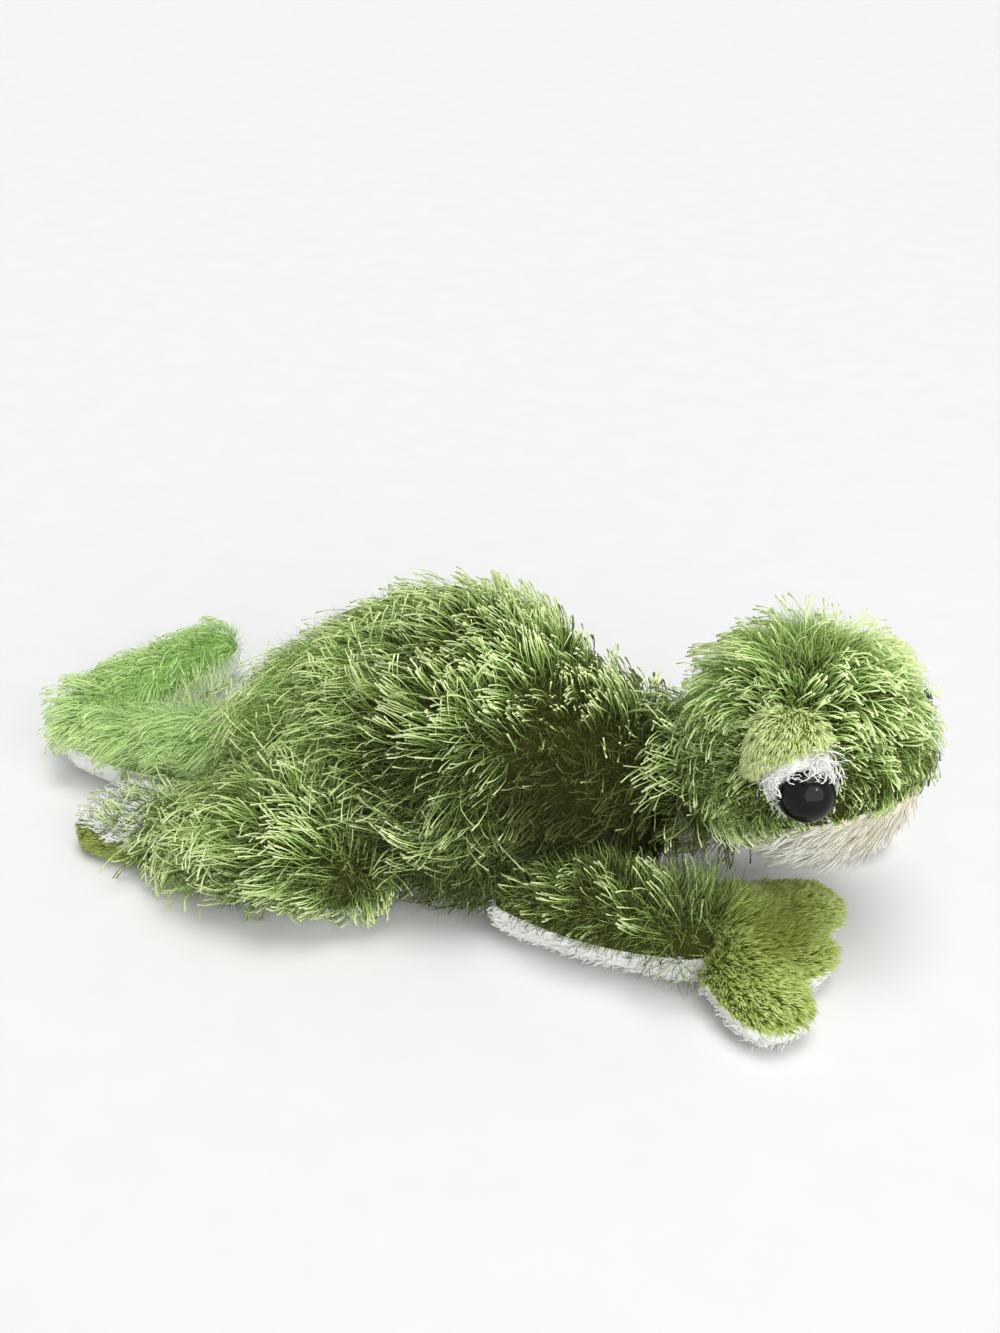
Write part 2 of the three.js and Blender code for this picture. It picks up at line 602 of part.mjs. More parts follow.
// The tail's level path: straight back, a bend, and a straight hook
function tailPath() {
  const path = new THREE.CurvePath();
  const bend = THREE.MathUtils.degToRad(TAIL_BEND);
  const corner = new THREE.Vector3(TAIL_STRAIGHT, 0, 0);
  const onBend = (angle) => new THREE.Vector3(
    TAIL_STRAIGHT + TAIL_BEND_RADIUS * Math.sin(angle), -TAIL_BEND_RADIUS * (1 - Math.cos(angle)), 0,
  );
  const hookWay = new THREE.Vector3(Math.cos(bend), -Math.sin(bend), 0);
  path.add(new THREE.LineCurve3(new THREE.Vector3(), corner));
  path.add(new THREE.CatmullRomCurve3([0, 0.25, 0.5, 0.75, 1].map((share) => onBend(bend * share))));
  path.add(new THREE.LineCurve3(onBend(bend), onBend(bend).addScaledVector(hookWay, TAIL_HOOK)));
  return path;
}

function buildTail() {
  const rootHeight = TAIL_HEIGHT / 2 - FLOOR_FLAT;
  const rumpX = bodyX(BODY_STATIONS[0][0]);
  const group = jointGroup(rumpX - TAIL_HEIGHT / 2 + TAIL_TUCK, TAIL_Y, 180);
  const form = {
    path: tailPath(), width: TAIL_WIDTH, height: TAIL_HEIGHT, profile: TAIL_PROFILE,
    roundStart: "height", roundEnd: "width", steps: 9,
  };
  const rootJoint = { point: new THREE.Vector3(0, 0, rootHeight), axis: SIDE_AXIS, range: TAIL_LIFT };
  stuffedLimb(group, {
    upper: "tail_cover", lower: "tail_underside", fill: "tail_stuffing",
  }, form, TAIL_HOLLOW, TAIL_SEAM, rootJoint);
  return group;
}

const gecko = new THREE.Group();
gecko.add(buildBody(), buildNeck(), buildHead(), buildTail());
for (const [name, side] of SIDES) gecko.add(buildArm(name, side), buildLeg(name, side));

export default gecko;
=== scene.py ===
"""Dresses the frame of a shaggy plush gecko: stuffed skins, long and short pile, plastic eyes and a stage.

Metres and degrees, in the frame's own axes: +X to the nose, +Y to the gecko's left, +Z up, floor at z = 0.
"""

import json
import math
from dataclasses import dataclass, replace

import bmesh
import bpy
import numpy as np
from mathutils import Matrix, Vector
from mathutils.kdtree import KDTree


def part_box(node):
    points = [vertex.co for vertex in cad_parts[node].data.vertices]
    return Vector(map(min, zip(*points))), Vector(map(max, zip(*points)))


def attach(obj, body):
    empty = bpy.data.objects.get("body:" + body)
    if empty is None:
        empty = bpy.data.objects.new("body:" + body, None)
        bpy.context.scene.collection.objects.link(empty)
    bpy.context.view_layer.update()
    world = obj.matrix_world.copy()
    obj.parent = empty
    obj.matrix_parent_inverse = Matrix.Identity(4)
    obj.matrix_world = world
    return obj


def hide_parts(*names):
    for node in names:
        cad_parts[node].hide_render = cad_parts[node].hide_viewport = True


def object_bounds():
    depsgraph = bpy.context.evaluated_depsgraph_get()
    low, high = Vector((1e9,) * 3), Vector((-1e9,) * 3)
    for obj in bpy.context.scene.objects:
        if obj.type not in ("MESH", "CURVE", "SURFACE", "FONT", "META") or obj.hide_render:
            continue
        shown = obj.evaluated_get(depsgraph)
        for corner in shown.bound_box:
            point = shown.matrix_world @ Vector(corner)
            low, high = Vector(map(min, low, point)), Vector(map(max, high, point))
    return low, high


bl_info = {
    "name": "Plush Gecko",
    "version": (1, 0, 0),
    "blender": (4, 5, 0),
    "location": "View3D > Sidebar > Gecko",
    "description": "Dresses the gecko's frame in stuffed skins, pile and eyes",
    "category": "Object",
}

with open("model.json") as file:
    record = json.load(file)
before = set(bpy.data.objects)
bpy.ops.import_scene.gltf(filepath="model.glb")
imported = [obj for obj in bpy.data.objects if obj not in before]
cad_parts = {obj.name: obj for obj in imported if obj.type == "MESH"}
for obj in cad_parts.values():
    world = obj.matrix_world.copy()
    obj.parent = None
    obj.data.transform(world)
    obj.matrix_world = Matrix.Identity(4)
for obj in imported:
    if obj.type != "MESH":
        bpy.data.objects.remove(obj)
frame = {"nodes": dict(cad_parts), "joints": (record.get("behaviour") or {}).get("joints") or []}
CAD_BOX = [list(corner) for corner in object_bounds()]

MM = 0.001
CM2 = 1e-4
SIDES = ("right", "left")
UP = Vector((0, 0, 1))
FLOOR_CLEAR = 0.4 * MM  # lowest that pile may lie
CEILING = CAD_BOX[1][2] + 11.5 * MM  # highest that pile may stand
ROOT_SINK = 0.6 * MM  # how deep a strand starts in its skin
MOST_TRIANGLES = 190_000  # in one piece of pile
PILE_MAP = "OFBake"  # the map that holds a strand's tone across and its length upwards
TONE_WIDTH = 0.02  # of the map, taken by one strand


def joint_places():
    """Where each joint of the frame sits."""
    return {joint["name"]: Vector(joint["pos_m"]) for joint in frame["joints"]}


def linear(*levels):
    """The linear colour of 8-bit sRGB levels."""
    shares = [level / 255 for level in levels]
    return tuple(s / 12.92 if s <= 0.04045 else ((s + 0.055) / 1.055) ** 2.4 for s in shares)


def colour(name, description, *levels):
    """A colour property with a default in 8-bit sRGB levels."""
    return bpy.props.FloatVectorProperty(
        name=name, description=description, subtype="COLOR", size=3, min=0, max=1, default=linear(*levels)
    )


def length(name, description, millimetres):
    """A length property with a default in millimetres."""
    return bpy.props.FloatProperty(
        name=name, description=description, subtype="DISTANCE", unit="LENGTH", default=millimetres * MM
    )


def angle(name, description, degrees):
    """An angle property with a default in degrees."""
    return bpy.props.FloatProperty(
        name=name, description=description, subtype="ANGLE", unit="ROTATION", default=math.radians(degrees)
    )


def brightness(name, description, default):
    """A property for the strength of a lamp or of the sky."""
    return bpy.props.FloatProperty(name=name, description=description, default=default)


class GeckoPile(bpy.types.PropertyGroup):
    """Sizes of the pile"""

    yarn_length: length("Yarn length", "Length of the long frayed strands", 19)
    yarn_width: length("Yarn width", "Width of a long strand along its stem", 0.2)
    yarn_tip: length("Yarn tip", "Width of a long strand at its blunt tip", 0.62)
    under_length: length("Under pile length", "Length of the finer pile beneath", 9.5)
    under_width: length("Under pile width", "Width of a fine strand", 0.17)
    plush_length: length("Plush length", "Length of the short lime pile", 4.6)
    plush_width: length("Plush width", "Width of a short strand", 0.36)


class GeckoColours(bpy.types.PropertyGroup):
    """Colours of the fabrics, with painted shade in the root colours and painted light in the tail's
    colours
    """

    # the root colours are painted shade, for the shade deep in the pile near the backing
    shaggy_root_shade: colour("Shaggy root", "Long strands at the backing", 46, 50, 14)
    shaggy_dark: colour("Shaggy dark", "Darkest long strands", 72, 76, 22)
    shaggy_mid: colour("Shaggy middle", "Most long strands", 164, 204, 88)
    shaggy_light: colour("Shaggy light", "Palest long strands", 210, 248, 152)
    shaggy_tip: colour("Shaggy tip", "Frayed tips of the long strands", 246, 255, 196)
    # the tail's colours are paler than the shaggy ones: painted light on the lit tail
    tail_dark_and_root_shade: colour("Tail root", "Strands of the tail at the backing", 96, 132, 50)
    tail_mid: colour("Tail middle", "Most strands of the tail", 186, 240, 130)
    tail_tip: colour("Tail tip", "Tips of the tail's strands", 228, 252, 182)
    fuzz_root_shade: colour("Fuzz root", "Fine under pile at the backing", 22, 28, 8)
    fuzz_dark: colour("Fuzz dark", "Darkest fine under pile", 40, 42, 12)
    fuzz_mid: colour("Fuzz middle", "Most fine under pile", 96, 108, 40)
    fuzz_light: colour("Fuzz light", "Palest fine under pile", 176, 208, 116)
    lime_root_shade: colour("Lime root", "Short strands at the backing", 108, 122, 42)
    lime_dark: colour("Lime dark", "Darkest short strands", 138, 154, 58)
    lime_mid: colour("Lime middle", "Most short strands", 178, 198, 86)
    lime_light: colour("Lime light", "Palest short strands", 228, 244, 164)
    lime_tip: colour("Lime tip", "Tips of the short strands", 240, 252, 190)
    white_dark: colour("White dark", "Greyest white strands", 248, 250, 244)
    white_mid: colour("White middle", "Most white strands", 252, 253, 249)
    white_light: colour("White light", "Cleanest white strands", 254, 254, 252)
    cream_dark: colour("Cream dark", "Tan strands of the chin", 246, 234, 204)
    cream_mid: colour("Cream middle", "Most strands of the chin", 252, 249, 234)
    cream_light: colour("Cream light", "Palest strands of the chin", 253, 252, 244)
    eye: colour("Eye", "Moulded eye", 6, 6, 8)


class GeckoStage(bpy.types.PropertyGroup):
    """Camera and light"""

    azimuth: angle("Azimuth", "Camera's bearing round the gecko", 18)
    elevation: angle("Elevation", "Camera's height above the horizon", 32)
    distance: length("Distance", "Camera to target", 480)
    target_height: length("Target height", "Point above the origin that the camera aims at", 39)
    lens: bpy.props.FloatProperty(
        name="Lens", description="Focal length", subtype="DISTANCE_CAMERA", default=45.4
    )
    floor: length("Floor", "Side of the floor", 9000)
    sun: brightness("Sun", "Strength of the soft overhead lamp", 1.85)
    fill: brightness("Fill", "Strength of the soft lamp in front", 1.9)
    sky: brightness("Sky", "Strength of the light from all round", 0.36)


# Objects and modifiers


def only(obj):
    """Makes obj the one selected and active object."""
    bpy.ops.object.select_all(action="DESELECT")
    obj.select_set(True)
    bpy.context.view_layer.objects.active = obj


def apply_modifiers(obj):
    only(obj)
    for modifier in list(obj.modifiers):
        bpy.ops.object.modifier_apply(modifier=modifier.name)


def new_object(name, mesh):
    obj = bpy.data.objects.new(name, mesh)
    bpy.context.scene.collection.objects.link(obj)
    return obj


def dress(obj, body, slot, material, *nodes):
    """Gives a finished piece its material and the body that it rides on, and hides the nodes that it stands
    for.
    """
    obj.data.materials.clear()
    obj.data.materials.append(material)
    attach(obj, body)
    if nodes:
        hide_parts(*nodes)
    return obj


# Stuffed skins


@dataclass
class Form:
    """A stuffed form: its nodes, the mesh size of its skin, and the seam that parts its two panels."""

    name: str
    body: str
    nodes: list
    voxel: float
    upper: tuple
    lower: tuple = None
    seam: tuple = None
    swell: float = 0.0


def seam_between(upper, lower, raised=0.0):
    """A level seam halfway between two nodes, or a little above that."""
    return Vector((0, 0, (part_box(upper)[0].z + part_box(lower)[1].z) / 2 + raised)), UP


# White pile that brushes up over a limb's seam
WHITE_SHOWS = {"arm": 3 * MM, "hand": 2.5 * MM, "leg": 0.0, "tail": 4 * MM}
WELD = 0.01 * MM  # corners closer than this are one


def limb_seam(limb, side=None):
    end = f"_{side}" if side else ""
    return seam_between(f"{limb}_cover{end}", f"{limb}_underside{end}", WHITE_SHOWS[limb])


def joined_copy(form):
    """One mesh of copies of the form's nodes."""
    shape = bmesh.new()
    for node in form.nodes:
        shape.from_mesh(frame["nodes"][node].data)
    bmesh.ops.remove_doubles(shape, verts=shape.verts, dist=WELD)
    mesh = bpy.data.meshes.new(form.name)
    shape.to_mesh(mesh)
    shape.free()
    return new_object(form.name, mesh)


def even_skin(form):
    """The form's skin as an even mesh, a little smaller where stuffing will swell it."""
    skin = joined_copy(form)
    remesh = skin.modifiers.new("Even mesh", "REMESH")
    remesh.mode = "VOXEL"
    remesh.voxel_size = form.voxel
    smooth = skin.modifiers.new("Smooth", "SMOOTH")
    smooth.factor = 0.5
    smooth.iterations = 5
    if form.swell:
        tuck = skin.modifiers.new("Tuck", "DISPLACE")
        tuck.mid_level = 0
        tuck.strength = -form.swell / 2
    apply_modifiers(skin)
    return skin


def rows_of(items, attribute, kind, columns):
    """One attribute of all the items of a mesh, as rows."""
    values = np.empty(len(items) * columns, kind)
    items.foreach_get(attribute, values)
    return values.reshape(-1, columns)


def points_of(mesh):
    return rows_of(mesh.vertices, "co", np.float32, 3).astype(float)


def set_points(mesh, points):
    mesh.vertices.foreach_set("co", points.astype(np.float32).ravel())
    mesh.update()


SIM_FRAMES = 20
PRESSURE = 4.0
CLOTH_QUALITY = 4
CLOTH_MASS = 0.25


def inflate(skins):
    """Swells skins by a cloth simulation, each point by no more than its form's swell."""
    scene = bpy.context.scene
    for _, skin in skins:
        cloth = skin.modifiers.new("Stuffing", "CLOTH")
        cloth.settings.quality = CLOTH_QUALITY
        cloth.settings.mass = CLOTH_MASS
        cloth.settings.use_pressure = True
        cloth.settings.uniform_pressure_force = PRESSURE
        cloth.settings.effector_weights.gravity = 0
        cloth.point_cache.frame_start = 1
        cloth.point_cache.frame_end = SIM_FRAMES
    for step in range(1, SIM_FRAMES + 1):
        scene.frame_set(step)
    depsgraph = bpy.context.evaluated_depsgraph_get()
    swollen = {skin.name: points_of(skin.evaluated_get(depsgraph).data) for _, skin in skins}
    for form, skin in skins:
        rest = points_of(skin.data)
        move = swollen[skin.name] - rest
        reach = np.linalg.norm(move, axis=1, keepdims=True)
        move *= np.minimum(1, form.swell / np.maximum(reach, 1e-9))
        skin.modifiers.clear()
        set_points(skin.data, rest + move)
    scene.frame_set(1)


def panel(skin, name, seam, above):
    """One side of a skin, closed at its seam by a cap that grows no pile."""
    shape = bmesh.new()
    shape.from_mesh(skin.data)
    cap = shape.faces.layers.int.new("seam_cap")
    if seam:
        point, normal = seam
        every = [*shape.verts, *shape.edges, *shape.faces]
        bmesh.ops.bisect_plane(
            shape, geom=every, plane_co=point, plane_no=normal, clear_inner=above, clear_outer=not above
        )
        rim = [edge for edge in shape.edges if edge.is_boundary]
        for face in bmesh.ops.holes_fill(shape, edges=rim)["faces"]:
            face[cap] = 1
    bmesh.ops.recalc_face_normals(shape, faces=shape.faces)
    for face in shape.faces:
        face.smooth = True
    mesh = bpy.data.meshes.new(name)
    shape.to_mesh(mesh)
    shape.free()
    return new_object(name, mesh)


def make_forms(forms):
    """Builds the skins of some forms, swells them and parts them into panels."""
    materials = backings()
    skins = [(form, even_skin(form)) for form in forms]
    stuffed = [(form, skin) for form, skin in skins if form.swell]
    if stuffed:
        inflate(stuffed)
    for form, skin in skins:
        finer = skin.modifiers.new("Finer", "SUBSURF")
        finer.levels = finer.render_levels = 1
        apply_modifiers(skin)
        points = points_of(skin.data)
        points[:, 2] = np.maximum(points[:, 2], 0)
        set_points(skin.data, points)
        for part, above in ((form.upper, True), (form.lower, False)):
            if part:
                name, slot, nodes, fill = part
                piece = panel(skin, name, form.seam, above)
                dress(piece, form.body, slot, materials[slot], *nodes)
        bpy.data.objects.remove(skin)


# Pile


SWIRL_SIZE = 26 * MM  # of the patches that strands swirl by
TONE_SIZE = 34 * MM  # of the patches that strands share a tone in
WAVES = 7  # that make up a patchy value


@dataclass
class Pile:
    """How a pile grows: sizes in metres, angles in degrees, and shares."""

    per_cm2: float
    length: float
    width: float
    tip: float = 0.0  # width of a blunt tip, or none for a pointed one
    rise: tuple = (36, -6)  # above the skin at the root and at the tip
    uneven: float = 0.3  # of the length
    stray: float = 20  # sideways, strand by strand
    swirl: float = 22  # sideways, patch by patch
    unrest: float = 9  # up and down
    wave: float = 0.25  # to either side
    turns: float = 0.8  # of the wave
    droop: float = 0.15  # of the tip, by its weight
    points: int = 5  # along a strand
    lock: int = 0  # strands that lean together
    lean: float = 0.5  # towards the lock's leader
    tone: float = 0.5  # 0 for dark, 1 for light
    mottle: float = 0.16  # tone, patch by patch
    grain: float = 0.15  # tone, strand by strand


@dataclass
class Coat:
    """A skin with its pile's flow, and how the share, length, lift and tone of strands change over it."""

    name: str
    skin: str
    body: str
    flow: object
    bend: float = 0.0  # degrees that a tip dips more, to follow a round skin
    keep: object = None
    length_share: object = None
    lift: object = None
    # tone shift over the skin: painted light and shade on many coats, plain tone on some
    shade: object = None


def unit(vectors):
    return vectors / np.maximum(np.linalg.norm(vectors, axis=-1, keepdims=True), 1e-12)


def scatter(skin, per_cm2, rng):
    """Roots and normals spread evenly over a skin, apart from its seam cap."""
    mesh = skin.data
    mesh.calc_loop_triangles()
    faces = rows_of(mesh.loop_triangles, "polygon_index", np.int32, 1)[:, 0]
    cap = rows_of(mesh.attributes["seam_cap"].data, "value", np.int32, 1)[:, 0]
    corners = rows_of(mesh.loop_triangles, "vertices", np.int32, 3)[cap[faces] == 0]
    points = points_of(mesh)[corners]
    normals = rows_of(mesh.vertex_normals, "vector", np.float32, 3).astype(float)[corners]
    first, second = points[:, 1] - points[:, 0], points[:, 2] - points[:, 0]
    areas = np.linalg.norm(np.cross(first, second), axis=1) / 2
    count = int(areas.sum() / CM2 * per_cm2)
    chosen = rng.choice(len(areas), count, p=areas / areas.sum())
    shares = rng.dirichlet((1, 1, 1), count)[:, :, None]
    return (points[chosen] * shares).sum(1), unit((normals[chosen] * shares).sum(1))


def mottle(points, size, rng):
    """A smooth patchy value of about -1 to 1."""
    ways = unit(rng.normal(size=(WAVES, 3))) * (2 * math.pi / size)
    return np.sin(points @ ways.T + rng.uniform(0, 2 * math.pi, WAVES)).mean(1) * 2


def tangent(flow, normals):
    return unit(flow - (flow * normals).sum(1, keepdims=True) * normals)


def along_of(points):
    """Places along a strand, closer together towards its tip."""
    return 1 - (1 - np.linspace(0, 1, points)) ** 1.5


def strand_paths(roots, normals, flow, pile, rng, lengths, lift, bend):
    """The middle lines of strands: they rise from the skin, bend over along the flow, wave and droop."""
    count = len(roots)
    along = along_of(pile.points)
    flow = tangent(flow, normals)
    side = np.cross(normals, flow)
    swing = rng.normal(0, pile.stray, count) + pile.swirl * mottle(roots, SWIRL_SIZE, rng)
    swing = np.radians(swing)[:, None]
    heading = flow * np.cos(swing) + side * np.sin(swing)
    first, last = math.radians(pile.rise[0]), math.radians(pile.rise[1] - bend)
    rise = first + (last - first) * along**0.8
    rise = rise[None] + (lift + np.radians(rng.normal(0, pile.unrest, count)))[:, None]
    way = heading[:, None] * np.cos(rise)[..., None] + normals[:, None] * np.sin(rise)[..., None]
    phase = rng.uniform(0, 2 * math.pi, (count, 1))
    wave = pile.wave * np.sin(2 * math.pi * pile.turns * along[None] + phase)
    way += side[:, None] * wave[..., None]
    way[..., 2] -= pile.droop * along**2
    steps = unit(way)[:, :-1] * (lengths[:, None] * np.diff(along))[..., None]
    start = (roots - normals * ROOT_SINK)[:, None]
    paths = np.concatenate([start, start + np.cumsum(steps, axis=1)], axis=1)
    if pile.lock:
        paths = gather(paths, pile, along)
    paths[..., 2] = np.clip(paths[..., 2], FLOOR_CLEAR, CEILING)
    return paths


def gather(paths, pile, along):
    """Leans each strand towards the leader of its lock."""
    leaders = range(0, len(paths), pile.lock)
    tree = KDTree(len(leaders))
    for index in leaders:
        tree.insert(paths[index, 0], index)
    tree.balance()
    lead = np.array([tree.find(root)[1] for root in paths[:, 0]])
    return paths + (paths[lead] - paths) * (pile.lean * along**1.4)[None, :, None]


def strand_mesh(name, paths, widths, tones, blunt):
    """Three-sided strands with pointed roots and blunt or pointed tips, and a map of tone and length."""
    count, points, _ = paths.shape
    rings = points - 1 if blunt else points - 2
    ahead = unit(np.gradient(paths, axis=1))
    spare = np.where(np.abs(ahead[..., 2:]) < 0.9, (0.0, 0.0, 1.0), (1.0, 0.0, 0.0))
    side = unit(np.cross(ahead, spare))
    over = np.cross(ahead, side)
    turns = np.arange(3) * 2 * math.pi / 3
    ring = side[:, :, None] * np.cos(turns)[:, None] + over[:, :, None] * np.sin(turns)[:, None]
    spots = paths[:, :, None] + ring * (widths / 2)[:, :, None, None]
    spots = spots[:, 1:rings + 1].reshape(count, rings * 3, 3)
    ends = paths[:, :1] if blunt else paths[:, [0, -1]]
    spots = np.concatenate([spots, ends], axis=1)

    first = np.arange(count)[:, None] * spots.shape[1]
    index = np.arange(rings * 3).reshape(rings, 3)
    after = np.roll(index, -1, axis=1)
    root = np.full(3, rings * 3)
    quads = np.stack([index[:-1], after[:-1], after[1:], index[1:]], -1).reshape(-1, 4)
    fans = [np.stack([root, after[0], index[0]], -1)]
    along = 0.02 + 0.96 * along_of(points)
    left = (np.arange(3) / 3 - 0.5) * TONE_WIDTH
    right = left + TONE_WIDTH / 3
    quad_u = np.tile(np.stack([left, right, right, left], -1), (rings - 1, 1))
    low, high = np.repeat(along[1:rings], 3), np.repeat(along[2:rings + 1], 3)
    quad_v = np.stack([low, low, high, high], -1)
    fan_u = [np.stack([(left + right) / 2, right, left], -1)]
    fan_v = [np.tile([along[0], along[1], along[1]], (3, 1))]
    if blunt:
        fans.append(index[-1:])
        fan_u.append(np.array([[-0.5, 0.5, 0.0]]) * TONE_WIDTH)
        fan_v.append(along[-1] - np.array([[0.0, 0.0, 0.01]]))
    else:
        fans.append(np.stack([index[-1], after[-1], root + 1], -1))
        fan_u.append(np.stack([left, right, (left + right) / 2], -1))
        fan_v.append(np.tile([along[-2], along[-2], along[-1]], (3, 1)))
    fans, fan_u, fan_v = (np.concatenate(rows) for rows in (fans, fan_u, fan_v))

    one = np.concatenate([quads.ravel(), fans.ravel()])
    one_u = np.concatenate([quad_u.ravel(), fan_u.ravel()])
    one_v = np.concatenate([quad_v.ravel(), fan_v.ravel()])
    corners = (first + one[None]).ravel()
    sizes = np.tile([4] * len(quads) + [3] * len(fans), count)

    mesh = bpy.data.meshes.new(name)
    mesh.vertices.add(count * spots.shape[1])
    mesh.vertices.foreach_set("co", spots.astype(np.float32).ravel())
    mesh.loops.add(len(corners))
    mesh.loops.foreach_set("vertex_index", corners.astype(np.int32))
    mesh.polygons.add(len(sizes))
    starts = np.concatenate([[0], np.cumsum(sizes)[:-1]])
    mesh.polygons.foreach_set("loop_start", starts.astype(np.int32))
    mesh.update(calc_edges=True)
    mesh.shade_smooth()
    places = np.stack([tones[:, None] + one_u[None], np.broadcast_to(one_v, (count, len(one_v)))], -1)
    layer = mesh.uv_layers.new(name=PILE_MAP)
    layer.data.foreach_set("uv", places.astype(np.float32).ravel())
    return mesh


def widths_of(pile, count, rng):
    """Widths along each strand, from its stem to its tip."""
    along = along_of(pile.points)
    profile = pile.width + max(pile.tip - pile.width, 0) * along**8
    return profile[None] * rng.uniform(0.7, 1.3, (count, 1))


def grow(layer, coat, slot, material, pile, seed):
    """Grows a pile on a coat's skin, in pieces of at most MOST_TRIANGLES."""
    rng = np.random.default_rng(seed)
    roots, normals = scatter(bpy.data.objects[coat.skin], pile.per_cm2, rng)
    if coat.keep:
        kept = rng.uniform(size=len(roots)) < coat.keep(roots, normals)
        roots, normals = roots[kept], normals[kept]
    count = len(roots)
    lengths = pile.length * (1 + pile.uneven * rng.uniform(-1, 1, count))
    if coat.length_share:
        lengths *= coat.length_share(roots, normals)
    lift = np.radians(coat.lift(roots, normals)) if coat.lift else np.zeros(count)
    paths = strand_paths(roots, normals, coat.flow(roots, normals), pile, rng, lengths, lift, coat.bend)
    tones = pile.tone + pile.mottle * mottle(roots, TONE_SIZE, rng) + rng.normal(0, pile.grain, count)
    # the coat's shade adds painted light and shade to the strands' tone
    if coat.shade:
        tones += coat.shade(roots, normals)
    tones = np.clip(tones, TONE_WIDTH, 1 - TONE_WIDTH)
    widths = widths_of(pile, count, rng)

    triangles = (pile.points - 1) * 6 - (2 if pile.tip else 6)
    pieces = math.ceil(count * triangles / MOST_TRIANGLES)
    order = np.argsort(roots[:, 0], kind="stable")
    for number, members in enumerate(np.array_split(order, pieces), 1):
        name = f"{coat.name}_{layer}" if pieces == 1 else f"{coat.name}_{layer}_{number}"
        mesh = strand_mesh(name, paths[members], widths[members], tones[members], pile.tip > 0)
        dress(new_object(name, mesh), coat.body, slot, material)


# Flows of the pile, and masks over it


def towards(x, y, z):
    """One direction everywhere."""
    return lambda roots, normals: np.broadcast_to(np.array((x, y, z), float), roots.shape)


def away_from(point, pull=1.0, push=(0, 0, 0)):
    """Out from a point, with a steady push."""
    centre = np.array(point, float)
    return lambda roots, normals: unit(roots - centre) * pull + np.array(push, float)


def same(value):
    return lambda roots, normals: np.full(len(roots), float(value))


def smooth_rise(values, low, high):
    """0 below low, 1 above high, and a smooth climb between."""
    share = np.clip((values - low) / (high - low), 0, 1)
    return share * share * (3 - 2 * share)


def far_from(point, roots, inner, outer):
    """0 within inner of a point, 1 beyond outer, and a smooth climb between."""
    return smooth_rise(np.linalg.norm(roots - point, axis=1), inner, outer)


def flank(normals):
    """1 on the sides and 0 on top."""
    return 1 - smooth_rise(normals[:, 2], 0.1, 0.75)


def above_seam(seam, roots):
    """Height of roots over a seam."""
    point, normal = seam
    return (roots - np.array(point)) @ np.array(normal)


# Materials


def node(tree, kind, **inputs):
    """A shader node with the values of some of its sockets, or links to them."""
    made = tree.nodes.new(kind)
    for name, value in inputs.items():
        link_or_set(tree, made.inputs[name.replace("_", " ")], value)
    return made


def link_or_set(tree, socket, value):
    if isinstance(value, bpy.types.NodeSocket):
        tree.links.new(value, socket)
    elif socket.type == "RGBA":
        socket.default_value = (*value, 1)
    else:
        socket.default_value = value


def mixed(tree, share, first, second):
    """The colour between two colours."""
    mix = tree.nodes.new("ShaderNodeMix")
    mix.data_type = "RGBA"
    link_or_set(tree, mix.inputs[0], share)
    link_or_set(tree, mix.inputs[6], first)
    link_or_set(tree, mix.inputs[7], second)
    return mix.outputs[2]


def ramped(tree, value, low, high):
    """A value's smooth rise from 0 at low to 1 at high."""
    made = node(tree, "ShaderNodeMapRange", Value=value, From_Min=low, From_Max=high)
    made.interpolation_type = "SMOOTHSTEP"
    return made.outputs["Result"]


def multiplied(tree, first, second):
    """The product of two values."""
    made = tree.nodes.new("ShaderNodeMath")
    made.operation = "MULTIPLY"
    link_or_set(tree, made.inputs[0], first)
    link_or_set(tree, made.inputs[1], second)
    return made.outputs[0]


# Root is a painted shade colour, for the shade deep in the pile
PILE_INPUTS = ("Root", "Dark", "Middle", "Light", "Tip")


def new_group(name, sockets):
    """A node group with its sockets, each given by name, direction and kind."""
    tree = bpy.data.node_groups.new(name, "ShaderNodeTree")
    for socket, in_out, kind in sockets:
        tree.interface.new_socket(socket, in_out=in_out, socket_type=f"NodeSocket{kind}")
    return tree


def pile_group():
    """Colour of a strand from its tone and the place along it, with painted shade that darkens it towards
    its root.
    """
    found = bpy.data.node_groups.get("Pile colour")
    if found:
        return found
    tree = new_group("Pile colour", [
        *((name, "INPUT", "Color") for name in PILE_INPUTS),
        ("Tip share", "INPUT", "Float"),
        ("Root reach", "INPUT", "Float"),
        ("Color", "OUTPUT", "Color"),
    ])
    given = tree.nodes.new("NodeGroupInput").outputs
    place = tree.nodes.new("ShaderNodeUVMap")
    place.uv_map = PILE_MAP
    split = node(tree, "ShaderNodeSeparateXYZ", Vector=place.outputs["UV"]).outputs
    tone, along = split["X"], split["Y"]
    stem = mixed(tree, ramped(tree, tone, 0.0, 0.5), given["Dark"], given["Middle"])
    stem = mixed(tree, ramped(tree, tone, 0.5, 1.0), stem, given["Light"])
    frayed = multiplied(tree, ramped(tree, along, 0.62, 1.0), ramped(tree, tone, 0.02, 0.4))
    stem = mixed(tree, multiplied(tree, frayed, given["Tip share"]), stem, given["Tip"])
    # painted shade: the Root colour darkens the strand from its root up to the Root reach share of its
    # length
    whole = mixed(tree, ramped(tree, along, -0.1, given["Root reach"]), given["Root"], stem)
    tree.links.new(whole, tree.nodes.new("NodeGroupOutput").inputs["Color"])
    return tree


def new_material(name):
    """A material with nodes: its tree and its Principled shader."""
    material = bpy.data.materials.new(name)
    material.use_nodes = True
    tree = material.node_tree
    return material, tree, tree.nodes["Principled BSDF"]


